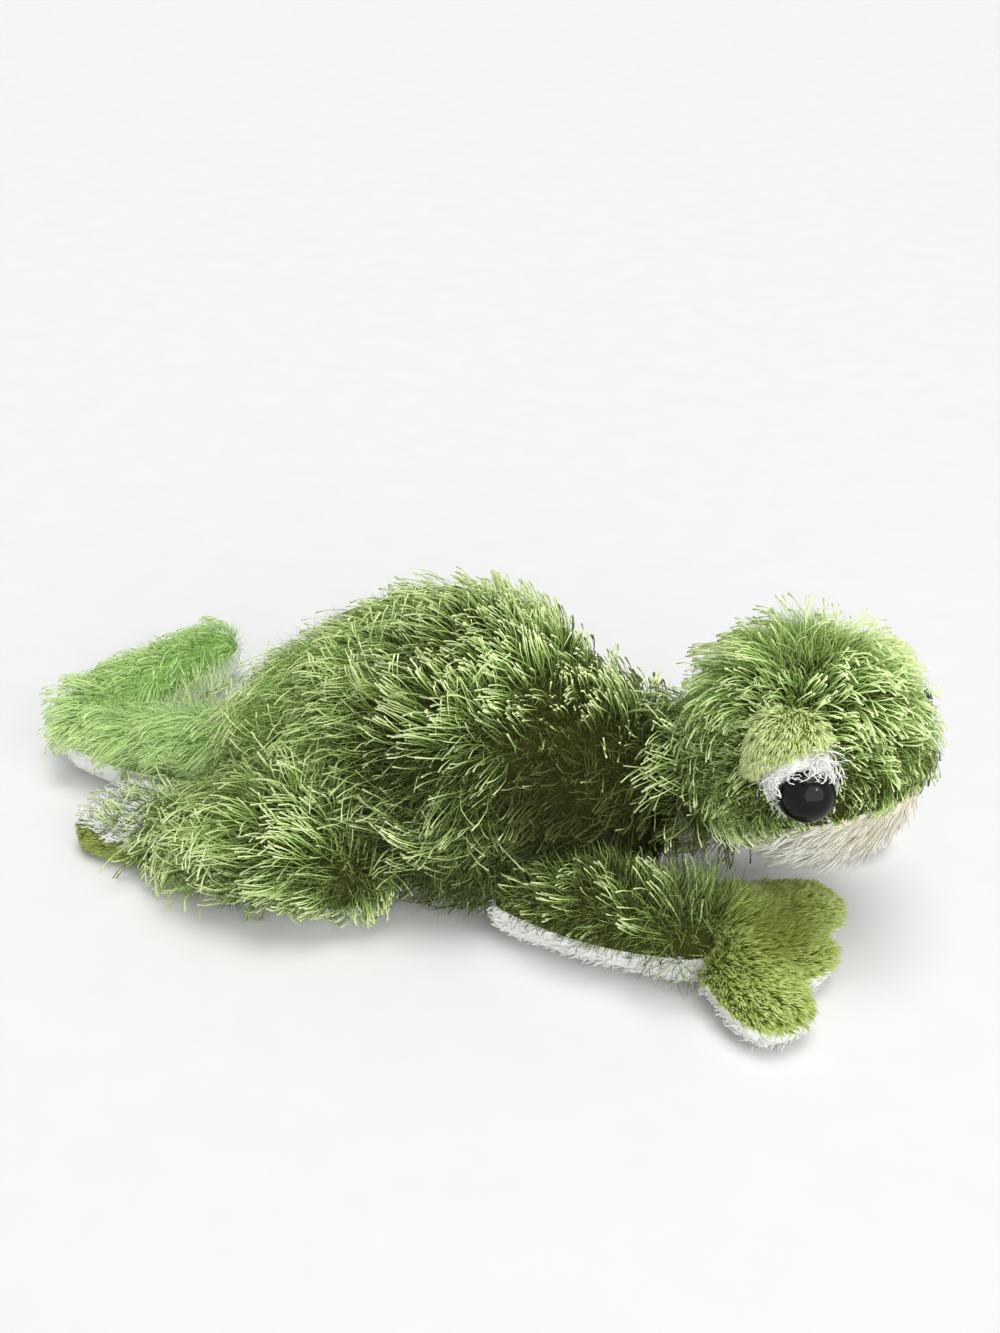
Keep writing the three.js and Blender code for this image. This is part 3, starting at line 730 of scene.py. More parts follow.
def pile_material(name, colours, tip_share, root_shade_reach=0.55, roughness=0.65, sheen=0.35):
    material, tree, shader = new_material(name)
    group = tree.nodes.new("ShaderNodeGroup")
    group.node_tree = pile_group()
    for socket, value in zip(PILE_INPUTS, colours, strict=True):
        link_or_set(tree, group.inputs[socket], value)
    group.inputs["Tip share"].default_value = tip_share
    group.inputs["Root reach"].default_value = root_shade_reach
    tree.links.new(group.outputs["Color"], shader.inputs["Base Color"])
    shader.inputs["Roughness"].default_value = roughness
    shader.inputs["Specular IOR Level"].default_value = 0.3
    shader.inputs["Sheen Weight"].default_value = sheen
    shader.inputs["Sheen Tint"].default_value = (*colours[3], 1)
    return material


def grain_group():
    """Knitted backing: a patchy share and a fine height."""
    found = bpy.data.node_groups.get("Backing grain")
    if found:
        return found
    tree = new_group("Backing grain", [
        ("Patch scale", "INPUT", "Float"),
        ("Knit scale", "INPUT", "Float"),
        ("Patches", "OUTPUT", "Float"),
        ("Height", "OUTPUT", "Float"),
    ])
    given = tree.nodes.new("NodeGroupInput").outputs
    place = tree.nodes.new("ShaderNodeTexCoord").outputs["Object"]
    patches = node(tree, "ShaderNodeTexNoise", Vector=place, Scale=given["Patch scale"], Detail=4.0)
    knit = node(tree, "ShaderNodeTexVoronoi", Vector=place, Scale=given["Knit scale"])
    out = tree.nodes.new("NodeGroupOutput")
    tree.links.new(patches.outputs["Fac"], out.inputs["Patches"])
    tree.links.new(knit.outputs["Distance"], out.inputs["Height"])
    return tree


PATCH_SCALE = 90  # patches of the backing's tone, per metre
KNIT_SCALE = 900  # stitches of the backing, per metre
KNIT_HEIGHT = 0.4 * MM


def backing_material(name, dark, light):
    """The fabric under the pile."""
    material, tree, shader = new_material(name)
    group = tree.nodes.new("ShaderNodeGroup")
    group.node_tree = grain_group()
    group.inputs["Patch scale"].default_value = PATCH_SCALE
    group.inputs["Knit scale"].default_value = KNIT_SCALE
    tree.links.new(mixed(tree, group.outputs["Patches"], dark, light), shader.inputs["Base Color"])
    bump = node(tree, "ShaderNodeBump", Height=group.outputs["Height"], Strength=0.6, Distance=KNIT_HEIGHT)
    tree.links.new(bump.outputs["Normal"], shader.inputs["Normal"])
    shader.inputs["Roughness"].default_value = 0.95
    shader.inputs["Specular IOR Level"].default_value = 0.2
    return material


def darker(value, share):
    return tuple(channel * share for channel in value)


def backings():
    """The backing fabric of each slot."""
    colours = bpy.context.scene.gecko_colours
    shades = {
        # the green and lime backings take the root shade colours: painted shade in the gaps between strands
        "shaggy_green": (colours.shaggy_root_shade, colours.shaggy_dark),
        "lime_plush": (colours.lime_root_shade, colours.lime_dark),
        "white_plush": (colours.white_dark, colours.white_mid),
        "cream_plush": (colours.cream_dark, colours.cream_mid),
    }
    made = {}
    for slot, (dark, light) in shades.items():
        name = f"{slot}_backing"
        made[slot] = bpy.data.materials.get(name) or backing_material(name, dark, light)
    return made


# Operators


class GECKO_OT_body(bpy.types.Operator):
    """Stuffed body: back and belly"""

    bl_idname = "gecko.body"
    bl_label = "Body"

    def execute(self, context):
        nodes = ["back_cover", "belly_panel", "body_stuffing", "pellet_bag"]
        form = Form(
            "body", "torso", nodes, 4 * MM,
            ("back_skin", "shaggy_green", ["back_cover", "body_stuffing"], 0.7),
            ("belly_skin", "white_plush", ["belly_panel", "pellet_bag"], 0.6),
            seam_between("back_cover", "belly_panel"), 2.5 * MM,
        )
        make_forms([form])
        return {"FINISHED"}


MOUTH_TILT = math.radians(22)  # the mouth seam climbs towards the nose
HEAD_HEADING = math.radians(-20)  # the head turns to its right
MOUTH_DROP = 11 * MM  # below the head's middle


def head_middle():
    low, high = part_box("head_stuffing")
    return (low + high) / 2


def in_head(x, y, z):
    """A direction given with x towards the nose."""
    return Matrix.Rotation(HEAD_HEADING, 3, "Z") @ Vector((x, y, z))


def mouth_seam():
    normal = in_head(-math.sin(MOUTH_TILT), 0, math.cos(MOUTH_TILT))
    return head_middle() - normal * MOUTH_DROP * math.cos(MOUTH_TILT), normal


class GECKO_OT_head(bpy.types.Operator):
    """Stuffed head with its chin, and the neck"""

    bl_idname = "gecko.head"
    bl_label = "Head and neck"

    def execute(self, context):
        head = Form(
            "head", "head", ["head_cover", "chin_panel", "head_stuffing"], 3.2 * MM,
            ("head_skin", "shaggy_green", ["head_cover", "head_stuffing"], 0.8),
            ("chin_skin", "cream_plush", ["chin_panel"], 0.7),
            mouth_seam(), 2 * MM,
        )
        neck = Form(
            "neck", "neck", ["neck_gusset"], 2.4 * MM, ("neck_skin", "shaggy_green", ["neck_gusset"], 0.5)
        )
        make_forms([head, neck])
        return {"FINISHED"}


LIMBS = (("arm", "right"), ("arm", "left"), ("leg", "right"), ("leg", "left"), ("tail", None))


class GECKO_OT_limbs(bpy.types.Operator):
    """Stuffed arms, legs and tail"""

    bl_idname = "gecko.limbs"
    bl_label = "Limbs and tail"

    def execute(self, context):
        forms = []
        for limb, side in LIMBS:
            body = f"{limb}_{side}" if side else limb
            end = f"_{side}" if side else ""
            cover, under, fill = (f"{limb}_{part}{end}" for part in ("cover", "underside", "stuffing"))
            forms.append(Form(
                body, body, [cover, under, fill], 3 * MM,
                (f"{limb}_skin{end}", "shaggy_green", [cover, fill], 0.6),
                (f"{limb}_underside_skin{end}", "white_plush", [under], 0.6),
                limb_seam(limb, side), 1.6 * MM,
            ))
        make_forms(forms)
        colours = context.scene.gecko_colours
        tail = bpy.data.objects["tail_skin"].data
        # painted light and shade: the tail's backing takes its paler colour and its dark root shade colour
        tail.materials[0] = backing_material("tail_backing", colours.tail_dark_and_root_shade, colours.tail_mid)
        return {"FINISHED"}


def hand_seam(side):
    return seam_between(f"hand_cover_{side}", f"hand_palm_{side}", WHITE_SHOWS["hand"])


class GECKO_OT_paws(bpy.types.Operator):
    """Stuffed hands and feet"""

    bl_idname = "gecko.paws"
    bl_label = "Hands and feet"

    def execute(self, context):
        forms = []
        for side in SIDES:
            cover, palm, pellets = (f"hand_{part}_{side}" for part in ("cover", "palm", "pellets"))
            forms.append(Form(
                f"hand_{side}", f"hand_{side}", [cover, palm, pellets], 1.8 * MM,
                (f"hand_skin_{side}", "lime_plush", [cover], 0.5),
                (f"palm_skin_{side}", "white_plush", [palm, pellets], 0.5),
                hand_seam(side),
            ))
            cover, sole, pellets = (f"foot_{part}_{side}" for part in ("cover", "sole", "pellets"))
            forms.append(Form(
                f"foot_{side}", f"foot_{side}", [cover, sole, pellets], 1.8 * MM,
                (f"sole_skin_{side}", "white_plush", [sole], 0.5),
                (f"foot_skin_{side}", "lime_plush", [cover, pellets], 0.5),
                seam_between(sole, cover),
            ))
        make_forms(forms)
        return {"FINISHED"}


EYE_SHANK = 4 * MM  # across
SHANK_LENGTH = 4 * MM
EYE_EDGE = 0.5 * MM  # that the dome rolls under at its rim
EDGE_ANGLE = math.radians(40)  # sharper edges stay sharp


def eye_frame(side):
    """The middle of an eye's dome, its outward axis and its radius, from the moulding and its washer."""
    points = points_of(frame["nodes"][f"eye_{side}"].data)
    washer = points_of(frame["nodes"][f"eye_washer_{side}"].data)
    out = Vector(points.mean(0) - washer.mean(0)).normalized()
    axis = np.array(out)
    heights = (points - washer.mean(0)) @ axis
    flat = points - np.outer(heights, axis)
    spread = np.linalg.norm(flat - flat[heights < heights.mean()].mean(0), axis=1)
    radius = spread.max()
    back = heights[spread > radius * 0.98].min()
    top = heights.max()
    base = Vector(washer.mean(0)) + out * back
    return base, out, radius, top - back


class GECKO_OT_eyes(bpy.types.Operator):
    """Eye pads, lids and the moulded eyes"""

    bl_idname = "gecko.eyes"
    bl_label = "Eyes"

    def execute(self, context):
        forms = []
        for side in SIDES:
            pad, lid = f"eye_pad_{side}", f"eyelid_{side}"
            forms.append(Form(
                pad, "head", [pad], 1.3 * MM, (f"eye_pad_skin_{side}", "white_plush", [pad], 0.8)
            ))
            forms.append(Form(
                lid, "head", [lid], 1.0 * MM, (f"eyelid_skin_{side}", "lime_plush", [lid], 0.5)
            ))
        make_forms(forms)
        material = eye_material()
        for side in SIDES:
            self.dome(side, material)
            washer = frame["nodes"][f"eye_washer_{side}"]
            washer.data.materials.clear()
            washer.data.materials.append(washer_material())
        return {"FINISHED"}

    def dome(self, side, material):
        """A polished dome with a rolled edge on its shank."""
        base, out, radius, rise = eye_frame(side)
        bpy.ops.object.select_all(action="DESELECT")
        bpy.ops.mesh.primitive_uv_sphere_add(segments=48, ring_count=24, radius=1)
        eye = bpy.context.object
        eye.name = f"eye_dome_{side}"
        eye.scale = (radius, radius, rise)
        bpy.ops.object.transform_apply(location=False, rotation=False, scale=True)
        bpy.ops.object.mode_set(mode="EDIT")
        bpy.ops.mesh.select_all(action="SELECT")
        bpy.ops.mesh.bisect(plane_co=(0, 0, -EYE_EDGE), plane_no=UP, use_fill=True, clear_inner=True)
        bpy.ops.mesh.inset(thickness=radius - EYE_SHANK / 2)
        bpy.ops.mesh.extrude_region_move(TRANSFORM_OT_translate={"value": (0, 0, -SHANK_LENGTH)})
        bpy.ops.mesh.select_all(action="SELECT")
        bpy.ops.mesh.normals_make_consistent(inside=False)
        bpy.ops.object.mode_set(mode="OBJECT")
        bpy.ops.object.shade_smooth_by_angle(angle=EDGE_ANGLE)
        turn = UP.rotation_difference(out).to_matrix().to_4x4()
        eye.data.transform(Matrix.Translation(base) @ turn)
        dress(eye, "head", "eye_black", material, f"eye_{side}")


def eye_material():
    """Polished black plastic, with the faintest unevenness."""
    material, tree, shader = new_material("polished_eye")
    place = tree.nodes.new("ShaderNodeTexCoord").outputs["Object"]
    haze = node(tree, "ShaderNodeTexNoise", Vector=place, Scale=400.0, Detail=3.0)
    rough = node(tree, "ShaderNodeMapRange", Value=haze.outputs["Fac"], To_Min=0.06, To_Max=0.2)
    tree.links.new(rough.outputs["Result"], shader.inputs["Roughness"])
    black = bpy.context.scene.gecko_colours.eye
    tint = mixed(tree, haze.outputs["Fac"], darker(black, 0.7), black)
    tree.links.new(tint, shader.inputs["Base Color"])
    shader.inputs["Specular IOR Level"].default_value = 0.22
    return material


def washer_material():
    """Moulded grey plastic with a fine grain."""
    found = bpy.data.materials.get("moulded_washer")
    if found:
        return found
    material, tree, shader = new_material("moulded_washer")
    place = tree.nodes.new("ShaderNodeTexCoord").outputs["Object"]
    grain = node(tree, "ShaderNodeTexNoise", Vector=place, Scale=1500.0)
    grey = mixed(tree, grain.outputs["Fac"], linear(40, 43, 48), linear(58, 62, 68))
    tree.links.new(grey, shader.inputs["Base Color"])
    shader.inputs["Roughness"].default_value = 0.5
    return material


EYE_BARE = 1.5 * MM  # round an eye's pad and lid, where no long strand grows
EYE_SHORT = 18 * MM  # round them, where long strands are shortened
LID_BARE = 1.6 * MM  # round a lid, where its pad grows no loops


def distance_from(skins, roots):
    """Distance of roots from the nearest of some skins, and the way there from its middle."""
    shapes = [points_of(bpy.data.objects[skin].data) for skin in skins]
    tree = KDTree(sum(len(points) for points in shapes))
    for number, points in enumerate(shapes):
        for point in points:
            tree.insert(point, number)
    tree.balance()
    found = [tree.find(root) for root in roots]
    middles = np.array([points.mean(0) for points in shapes])
    return np.array([hit[2] for hit in found]), unit(roots - middles[[hit[1] for hit in found]])


def eye_distance(roots):
    """Distance of roots from the nearest eye pad or lid, and the way there from its middle."""
    return distance_from([f"{name}_skin_{side}" for name in ("eye_pad", "eyelid") for side in SIDES], roots)


def back_coats():
    seam = seam_between("back_cover", "belly_panel")

    def front(roots, normals):
        """1 on the front flanks, which are thinly covered and get painted shade under the head, and 0
        elsewhere.
        """
        return smooth_rise(roots[:, 0], 9 * MM, 34 * MM) * (1 - smooth_rise(normals[:, 2], 0.7, 0.95))

    def ridge(roots, normals):
        """1 on top of the shoulders, where the pile stands upright, and 0 elsewhere."""
        return smooth_rise(roots[:, 0], -30 * MM, 20 * MM) * smooth_rise(normals[:, 2], 0.4, 0.8)

    def low(roots):
        """1 at the foot of the flanks, and 0 higher up."""
        return 1 - smooth_rise(roots[:, 2], 14 * MM, 34 * MM)

    def flow(roots, normals):
        down = 0.8 * (1 - smooth_rise(normals[:, 2], 0.2, 0.9)) + 0.8 * low(roots)
        return np.stack([0.6 * ridge(roots, normals) - 1, np.zeros(len(roots)), -down], 1)

    def lit_rear(roots):
        """1 on the hind part, which gets painted light, and 0 elsewhere."""
        return 1 - smooth_rise(roots[:, 0], -45 * MM, -12 * MM)

    def shaded_hollow(roots, normals):
        """1 along the hollow behind the right shoulder, which gets painted shade, and 0 elsewhere."""
        line = roots[:, 0] + 4 * MM - 0.19 * (roots[:, 1] + 22 * MM)
        return (1 - smooth_rise(np.abs(line), 4 * MM, 16 * MM)) * (normals[:, 1] < 0.4)

    def keep(roots, normals):
        share = (1 - 0.6 * front(roots, normals)) * (1 - 0.25 * flank(normals))
        share *= 1 - 0.3 * shaded_hollow(roots, normals)
        return share * (above_seam(seam, roots) > 0.5 * MM)

    def length_share(roots, normals):
        rump = 1 - smooth_rise(roots[:, 0], -60 * MM, -35 * MM)
        slope = smooth_rise(roots[:, 0], 30 * MM, 50 * MM) * smooth_rise(normals[:, 2], 0.3, 0.6)
        belly = low(roots) * (1 - smooth_rise(roots[:, 0], 10 * MM, 30 * MM))
        fuller = 0.5 * rump + 0.25 * slope + 0.35 * belly
        return 1 - 0.45 * front(roots, normals) - 0.28 * ridge(roots, normals) + fuller

    yarn = Coat(
        "back", "back_skin", "torso", flow,
        bend=6,
        keep=keep,
        length_share=length_share,
        lift=lambda roots, normals: 36 * ridge(roots, normals) - 3,
        # painted light and shade: darker on the flanks, much darker on the front flanks for their darker
        # moss and the shade under the head, darker in the hollow, paler on the lit hind part
        shade=lambda roots, normals: (
            0.28 - 0.28 * flank(normals) - 1.2 * front(roots, normals) - 0.3 * shaded_hollow(roots, normals)
            + 0.3 * lit_rear(roots)
        ),
    )
    fuzz = replace(
        yarn, keep=None, lift=None,
        # painted light and shade, as for the long strands
        shade=lambda roots, normals: (
            0.05 - 0.3 * flank(normals) - 0.5 * front(roots, normals) - 0.25 * shaded_hollow(roots, normals)
            + 0.45 * lit_rear(roots)
        ),
    )
    return yarn, fuzz


def head_coats():
    nose = np.array(in_head(1, 0, 0))
    crown = np.array(head_middle()) + np.array((-4, -8, 27)) * MM
    seam = mouth_seam()

    def flow(roots, normals):
        distances, ways = eye_distance(roots)
        near = 1 - smooth_rise(distances, 0, EYE_SHORT)
        return unit(roots - crown) + np.array((-0.2, 0, -0.1)) + ways * near[:, None] * 1.6

    def length_share(roots, normals):
        eye = 0.45 + 0.55 * smooth_rise(eye_distance(roots)[0], 2 * MM, EYE_SHORT)
        mouth = 0.5 + 0.5 * smooth_rise(above_seam(seam, roots), 0, 12 * MM)
        return 0.9 * eye * mouth * (1 - 0.35 * smooth_rise(normals @ nose, 0.2, 0.9))

    def muzzle(normals):
        """1 round the muzzle, which gets painted shade, and 0 elsewhere."""
        return smooth_rise(normals @ nose, 0.2, 0.8)

    def grows(roots, normals):
        """1 where the head's long pile grows, clear of its eyes and mouth."""
        return (eye_distance(roots)[0] > EYE_BARE) * (above_seam(seam, roots) > 1 * MM)

    yarn = Coat(
        "head", "head_skin", "head", flow,
        bend=20,
        keep=grows,
        length_share=length_share,
        lift=lambda roots, normals: 36 * (1 - far_from(crown, roots, 6 * MM, 34 * MM)),
        # painted light and shade: paler on the lit top, darker on the sides and round the muzzle
        shade=lambda roots, normals: 0.62 - 0.42 * flank(normals) - 0.45 * muzzle(normals),
    )
    fuzz = replace(
        yarn,
        length_share=lambda roots, normals: 1.25 * length_share(roots, normals),
        # painted light and shade, as for the long strands
        shade=lambda roots, normals: 0.6 - 0.5 * flank(normals) - 0.3 * muzzle(normals),
    )
    return yarn, fuzz


def neck_coats():
    yarn = Coat(
        "neck", "neck_skin", "neck", towards(-1, 0, -0.3),
        keep=lambda roots, normals: normals[:, 2] > -0.3,
        length_share=same(0.8),
        # painted shade: darker on the neck's sides, between the head and the body
        shade=lambda roots, normals: 0.1 - 0.7 * flank(normals),
    )
    # painted shade on the sides, as for the long strands
    return yarn, replace(yarn, shade=lambda roots, normals: -0.05 - 0.3 * flank(normals))


def arm_coats(side):
    seam = limb_seam("arm", side)
    shoulder, wrist = (np.array(joint_places()[f"{name}_{side}"]) for name in ("shoulder", "wrist"))
    reach = wrist - shoulder

    def to_wrist(roots):
        """0 from the shoulder to the elbow, and 1 at the wrist, where the pile hangs over the seam."""
        return smooth_rise((roots - shoulder) @ reach / (reach @ reach), 0.7, 1.0)

    def length_share(roots, normals):
        clear = smooth_rise(above_seam(seam, roots), 0, 9 * MM)
        return 0.62 * (0.2 + 0.8 * np.maximum(clear, to_wrist(roots))) + 0.25 * to_wrist(roots)

    def fuzz_share(roots, normals):
        """As the long strands, but fuller, above all on top of the wrist."""
        top = smooth_rise(normals[:, 2], 0.2, 0.7)
        return length_share(roots, normals) + 0.25 + 0.6 * to_wrist(roots) * top

    yarn = Coat(
        f"arm_{side}", f"arm_skin_{side}", f"arm_{side}", towards(-0.5, 0, -0.45),
        bend=10,
        keep=lambda roots, normals: (0.35 + 0.15 * to_wrist(roots)) * (above_seam(seam, roots) > 5 * MM),
        length_share=length_share,
        lift=lambda roots, normals: 34 * smooth_rise(normals[:, 2], 0.2, 0.9),
        shade=same(-0.15),
    )
    fuzz = replace(
        yarn,
        keep=lambda roots, normals: above_seam(seam, roots) > 0.5 * MM,
        length_share=fuzz_share,
        # painted shade: the fine pile is darker on the arm's sides
        shade=lambda roots, normals: 0.08 - 0.2 * flank(normals),
    )
    return yarn, fuzz


def leg_coats(side):
    seam = limb_seam("leg", side)
    low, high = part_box(f"leg_cover_{side}")
    if side == "right":
        whorl = np.array((high.x - 20 * MM, low.y + 4 * MM, 34 * MM))
        push = np.array((-0.9, 0, -0.15))
    else:
        whorl = np.array(((low.x + high.x) / 2, low.y + 10 * MM, 30 * MM))
        push = np.array((-0.1, 0.9, -0.15))

    def flow(roots, normals):
        far = far_from(whorl, roots, 8 * MM, 30 * MM)
        return unit(roots - whorl) * (0.75 * far)[:, None] + push

    yarn = Coat(
        f"leg_{side}", f"leg_skin_{side}", f"leg_{side}", flow,
        bend=16,
        keep=lambda roots, normals: above_seam(seam, roots) > 0.5 * MM,
        length_share=lambda roots, normals: (
            0.45 + 0.5 * smooth_rise(above_seam(seam, roots), 0, 16 * MM)
            + 0.4 * (1 - smooth_rise(roots[:, 0], -52 * MM, -34 * MM))
        ),
        lift=lambda roots, normals: 26 * (1 - far_from(whorl, roots, 6 * MM, 28 * MM)),
        shade=same(0.08),
    )
    # painted shade: the fine pile is darker on the leg's sides
    return yarn, replace(yarn, shade=lambda roots, normals: 0.2 - 0.3 * flank(normals))


def foot_fringe_coats(side, ankle):
    """Long pile that the leg's cover runs out over the foot with."""
    seam = seam_between(f"foot_sole_{side}", f"foot_cover_{side}")
    start = np.array(ankle)

    def keep(roots, normals):
        return (1 - far_from(start, roots, 15 * MM, 26 * MM)) * (above_seam(seam, roots) > 0.5 * MM)

    yarn = Coat(
        f"foot_fringe_{side}", f"sole_skin_{side}", f"foot_{side}", away_from(ankle, 1, (0, 0, 0.2)),
        bend=10,
        keep=keep,
        length_share=same(0.62),
    )
    fuzz = replace(
        yarn, keep=lambda roots, normals: 0.4 * keep(roots, normals), shade=same(0.2)
    )
    return yarn, fuzz


def tail_coats():
    seam = limb_seam("tail")
    low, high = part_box("tail_cover")
    crook = np.array((low.x + 44 * MM, high.y - 32 * MM, 0))

    def inside(roots, normals):
        """1 on the side of the tail that faces its crook, and 0 elsewhere."""
        inwards = crook - roots
        inwards[:, 2] = 0
        return smooth_rise((unit(inwards) * normals).sum(1), 0.2, 0.6)

    def flow(roots, normals):
        clear = smooth_rise(above_seam(seam, roots), 3 * MM, 14 * MM)
        fall = 0.7 * clear - 0.25 + 1.2 * inside(roots, normals)
        return np.stack([np.full(len(roots), -0.45), np.full(len(roots), -0.4), -fall], 1)

    def length_share(roots, normals):
        outer = 1 - smooth_rise(roots[:, 0], low.x + 8 * MM, low.x + 30 * MM)
        near = outer * (normals[:, 1] < 0.2)
        seam_clear = smooth_rise(above_seam(seam, roots), 0, 8 * MM)
        hanging = inside(roots, normals)
        end = smooth_rise(roots[:, 1], high.y - 30 * MM, high.y - 14 * MM)
        full = np.maximum(np.maximum(seam_clear, hanging), 0.7 * end)
        return 0.7 * (0.22 + 0.78 * full + 0.2 * near * seam_clear + 0.25 * hanging)

    yarn = Coat(
        "tail", "tail_skin", "tail", flow,
        bend=14,
        keep=lambda roots, normals: above_seam(seam, roots) > 1 * MM,
        length_share=length_share,
        # painted light: the tail's strands are paler throughout
        shade=same(0.46),
    )
    fuzz = replace(
        yarn,
        keep=lambda roots, normals: 0.75 * (above_seam(seam, roots) > 0.5 * MM),
        shade=same(0.1),
    )
    return yarn, fuzz


YARN_SEED = 11  # of the first coat; each next one takes the next seed
FUZZ_SEED_STEP = 20
LIME_SEEDS = {"right": 101, "left": 111}  # of a side's hand, and the next two for its foot and lid
WHITE_SEED = 201
THROAT_SEED = 230


class GECKO_OT_shaggy(bpy.types.Operator):
    """Long green pile on the body, head, limbs and tail"""

    bl_idname = "gecko.shaggy"
    bl_label = "Shaggy pile"

    def execute(self, context):
        sizes = context.scene.gecko_pile
        c = context.scene.gecko_colours
        long_colours = (c.shaggy_root_shade, c.shaggy_dark, c.shaggy_mid, c.shaggy_light, c.shaggy_tip)
        # the tail's colours are paler: painted light on the lit tail
        lit_tail_colours = (c.tail_dark_and_root_shade, c.tail_dark_and_root_shade, c.tail_mid, c.tail_tip, c.tail_tip)
        fine_colours = (c.fuzz_root_shade, c.fuzz_dark, c.fuzz_mid, c.fuzz_light, c.fuzz_light)
        strands = pile_material("shaggy_yarn", long_colours, tip_share=0.95, root_shade_reach=0.85)
        lit_tail_strands = pile_material("tail_yarn", lit_tail_colours, tip_share=0.8)
        under = pile_material("shaggy_fuzz", fine_colours, tip_share=0.3, sheen=0.15)
        long_pile = Pile(
            per_cm2=66, length=sizes.yarn_length, width=sizes.yarn_width, tip=sizes.yarn_tip,
            stray=32, swirl=36, unrest=14, lock=7, lean=0.6, tone=0.58, grain=0.32,
        )
        fine_pile = Pile(
            per_cm2=250, length=sizes.under_length, width=sizes.under_width,
            rise=(58, 18), uneven=0.5, stray=60, unrest=20, points=3, tone=0.4, grain=0.42,
        )
        places = joint_places()
        coats = [back_coats(), head_coats(), neck_coats()]
        for side in SIDES:
            coats += [arm_coats(side), leg_coats(side), foot_fringe_coats(side, places[f"ankle_{side}"])]
        coats.append(tail_coats())
        # painted light: the tail's strands take higher tones
        combed_long = replace(long_pile, stray=15, swirl=14, unrest=9, tone=0.85)
        combed_fine = replace(fine_pile, stray=28, unrest=12, tone=0.6)
        for seed, (yarn, fuzz) in enumerate(coats, YARN_SEED):
            long, fine, outer, inner = long_pile, fine_pile, strands, under
            if yarn.name == "tail":
                long, fine, outer, inner = combed_long, combed_fine, lit_tail_strands, lit_tail_strands
            grow("yarn", yarn, "shaggy_green", outer, long, seed)
            grow("fuzz", fuzz, "shaggy_green", inner, fine, seed + FUZZ_SEED_STEP)
        return {"FINISHED"}


def hand_coat(side):
    seam = hand_seam(side)
    wrist = np.array(joint_places()[f"wrist_{side}"])
    inwards = 1 if side == "right" else -1

    def length_share(roots, normals):
        """Longer at the inner side of the wrist, where the arm's cover runs out."""
        inner = smooth_rise((roots - wrist)[:, 1] * inwards, 2 * MM, 12 * MM)
        return 1 + 0.9 * (1 - far_from(wrist, roots, 14 * MM, 26 * MM)) * inner

    return Coat(
        f"hand_{side}", f"hand_skin_{side}", f"hand_{side}", away_from(wrist),
        bend=8,
        keep=lambda roots, normals: above_seam(seam, roots) > 0.6 * MM,
        length_share=length_share,
        shade=same(-0.14),
    )


def foot_coat(side):
    ankle = joint_places()[f"ankle_{side}"]
    return Coat(
        f"foot_{side}", f"foot_skin_{side}", f"foot_{side}", away_from(ankle),
        bend=8,
        length_share=same(0.7),
        shade=same(-0.3),
    )


def lid_coat(side):
    low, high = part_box(f"eyelid_{side}")
    dome = eye_frame(side)[0]
    eye = np.array(dome)
    fall = (dome - (low + high) / 2).normalized() + Vector((-0.6, 0, 0))
    return Coat(
        f"eyelid_{side}", f"eyelid_skin_{side}", "head", towards(*fall),
        bend=12,
        length_share=lambda roots, normals: 0.35 + 0.75 * far_from(eye, roots, 9 * MM, 17 * MM),
    )


class GECKO_OT_lime(bpy.types.Operator):
    """Short lime pile on the hands, feet and eyelids"""

    bl_idname = "gecko.lime"
    bl_label = "Lime pile"

    def execute(self, context):
        sizes = context.scene.gecko_pile
        c = context.scene.gecko_colours
        hand_colours = (c.lime_root_shade, c.lime_dark, c.lime_mid, c.lime_light, c.lime_tip)
        # the lids' colours are a paler copy of the hands' lime: painted light on the lit lids
        lit_brow_colours = (c.lime_mid, c.lime_mid, c.lime_light, c.lime_tip, c.lime_tip)
        lime = pile_material("lime_pile", hand_colours, tip_share=0.6)
        lit_lime = pile_material("brow_lit_pile", lit_brow_colours, tip_share=0.6)
        plush = Pile(
            per_cm2=470, length=sizes.plush_length, width=sizes.plush_width,
            rise=(50, 28), uneven=0.25, stray=16, swirl=22, unrest=9, wave=0.12, droop=0.05,
            points=3, lock=11, lean=0.4, tone=0.5, mottle=0.26,
        )
        # painted light: the lids' pile takes a higher tone
        brow = Pile(
            per_cm2=420, length=sizes.plush_length, width=sizes.plush_width * 0.9,
            rise=(36, 12), stray=14, swirl=14, unrest=8, wave=0.12, droop=0.05,
            points=3, lock=7, lean=0.4, tone=0.8,
        )
        for side, seed in LIME_SEEDS.items():
            grow("pile", hand_coat(side), "lime_plush", lime, plush, seed)
            grow("pile", foot_coat(side), "lime_plush", lime, plush, seed + 1)
            grow("pile", lid_coat(side), "lime_plush", lit_lime, brow, seed + 2)
        return {"FINISHED"}


def chin_coat():
    nose = np.array(in_head(1, 0, 0))
    tip = np.array(head_middle()) + nose * 28 * MM
    return Coat(
        "chin", "chin_skin", "head", away_from(tip, 1, (0, 0, -0.35)),
        bend=4,
        length_share=lambda roots, normals: (
            1 + 1.0 * smooth_rise(-normals @ nose, 0.0, 0.7) + 0.5 * smooth_rise(-normals[:, 2], 0.3, 0.9)
        ),
        shade=lambda roots, normals: 0.45 - 0.45 * smooth_rise(normals @ nose, 0.3, 0.95),
    )


def throat_coat():
    return Coat(
        "throat", "neck_skin", "neck", towards(-0.6, 0, -1),
        keep=lambda roots, normals: normals[:, 2] < -0.1,
        length_share=same(1.4),
        shade=same(0.4),
    )


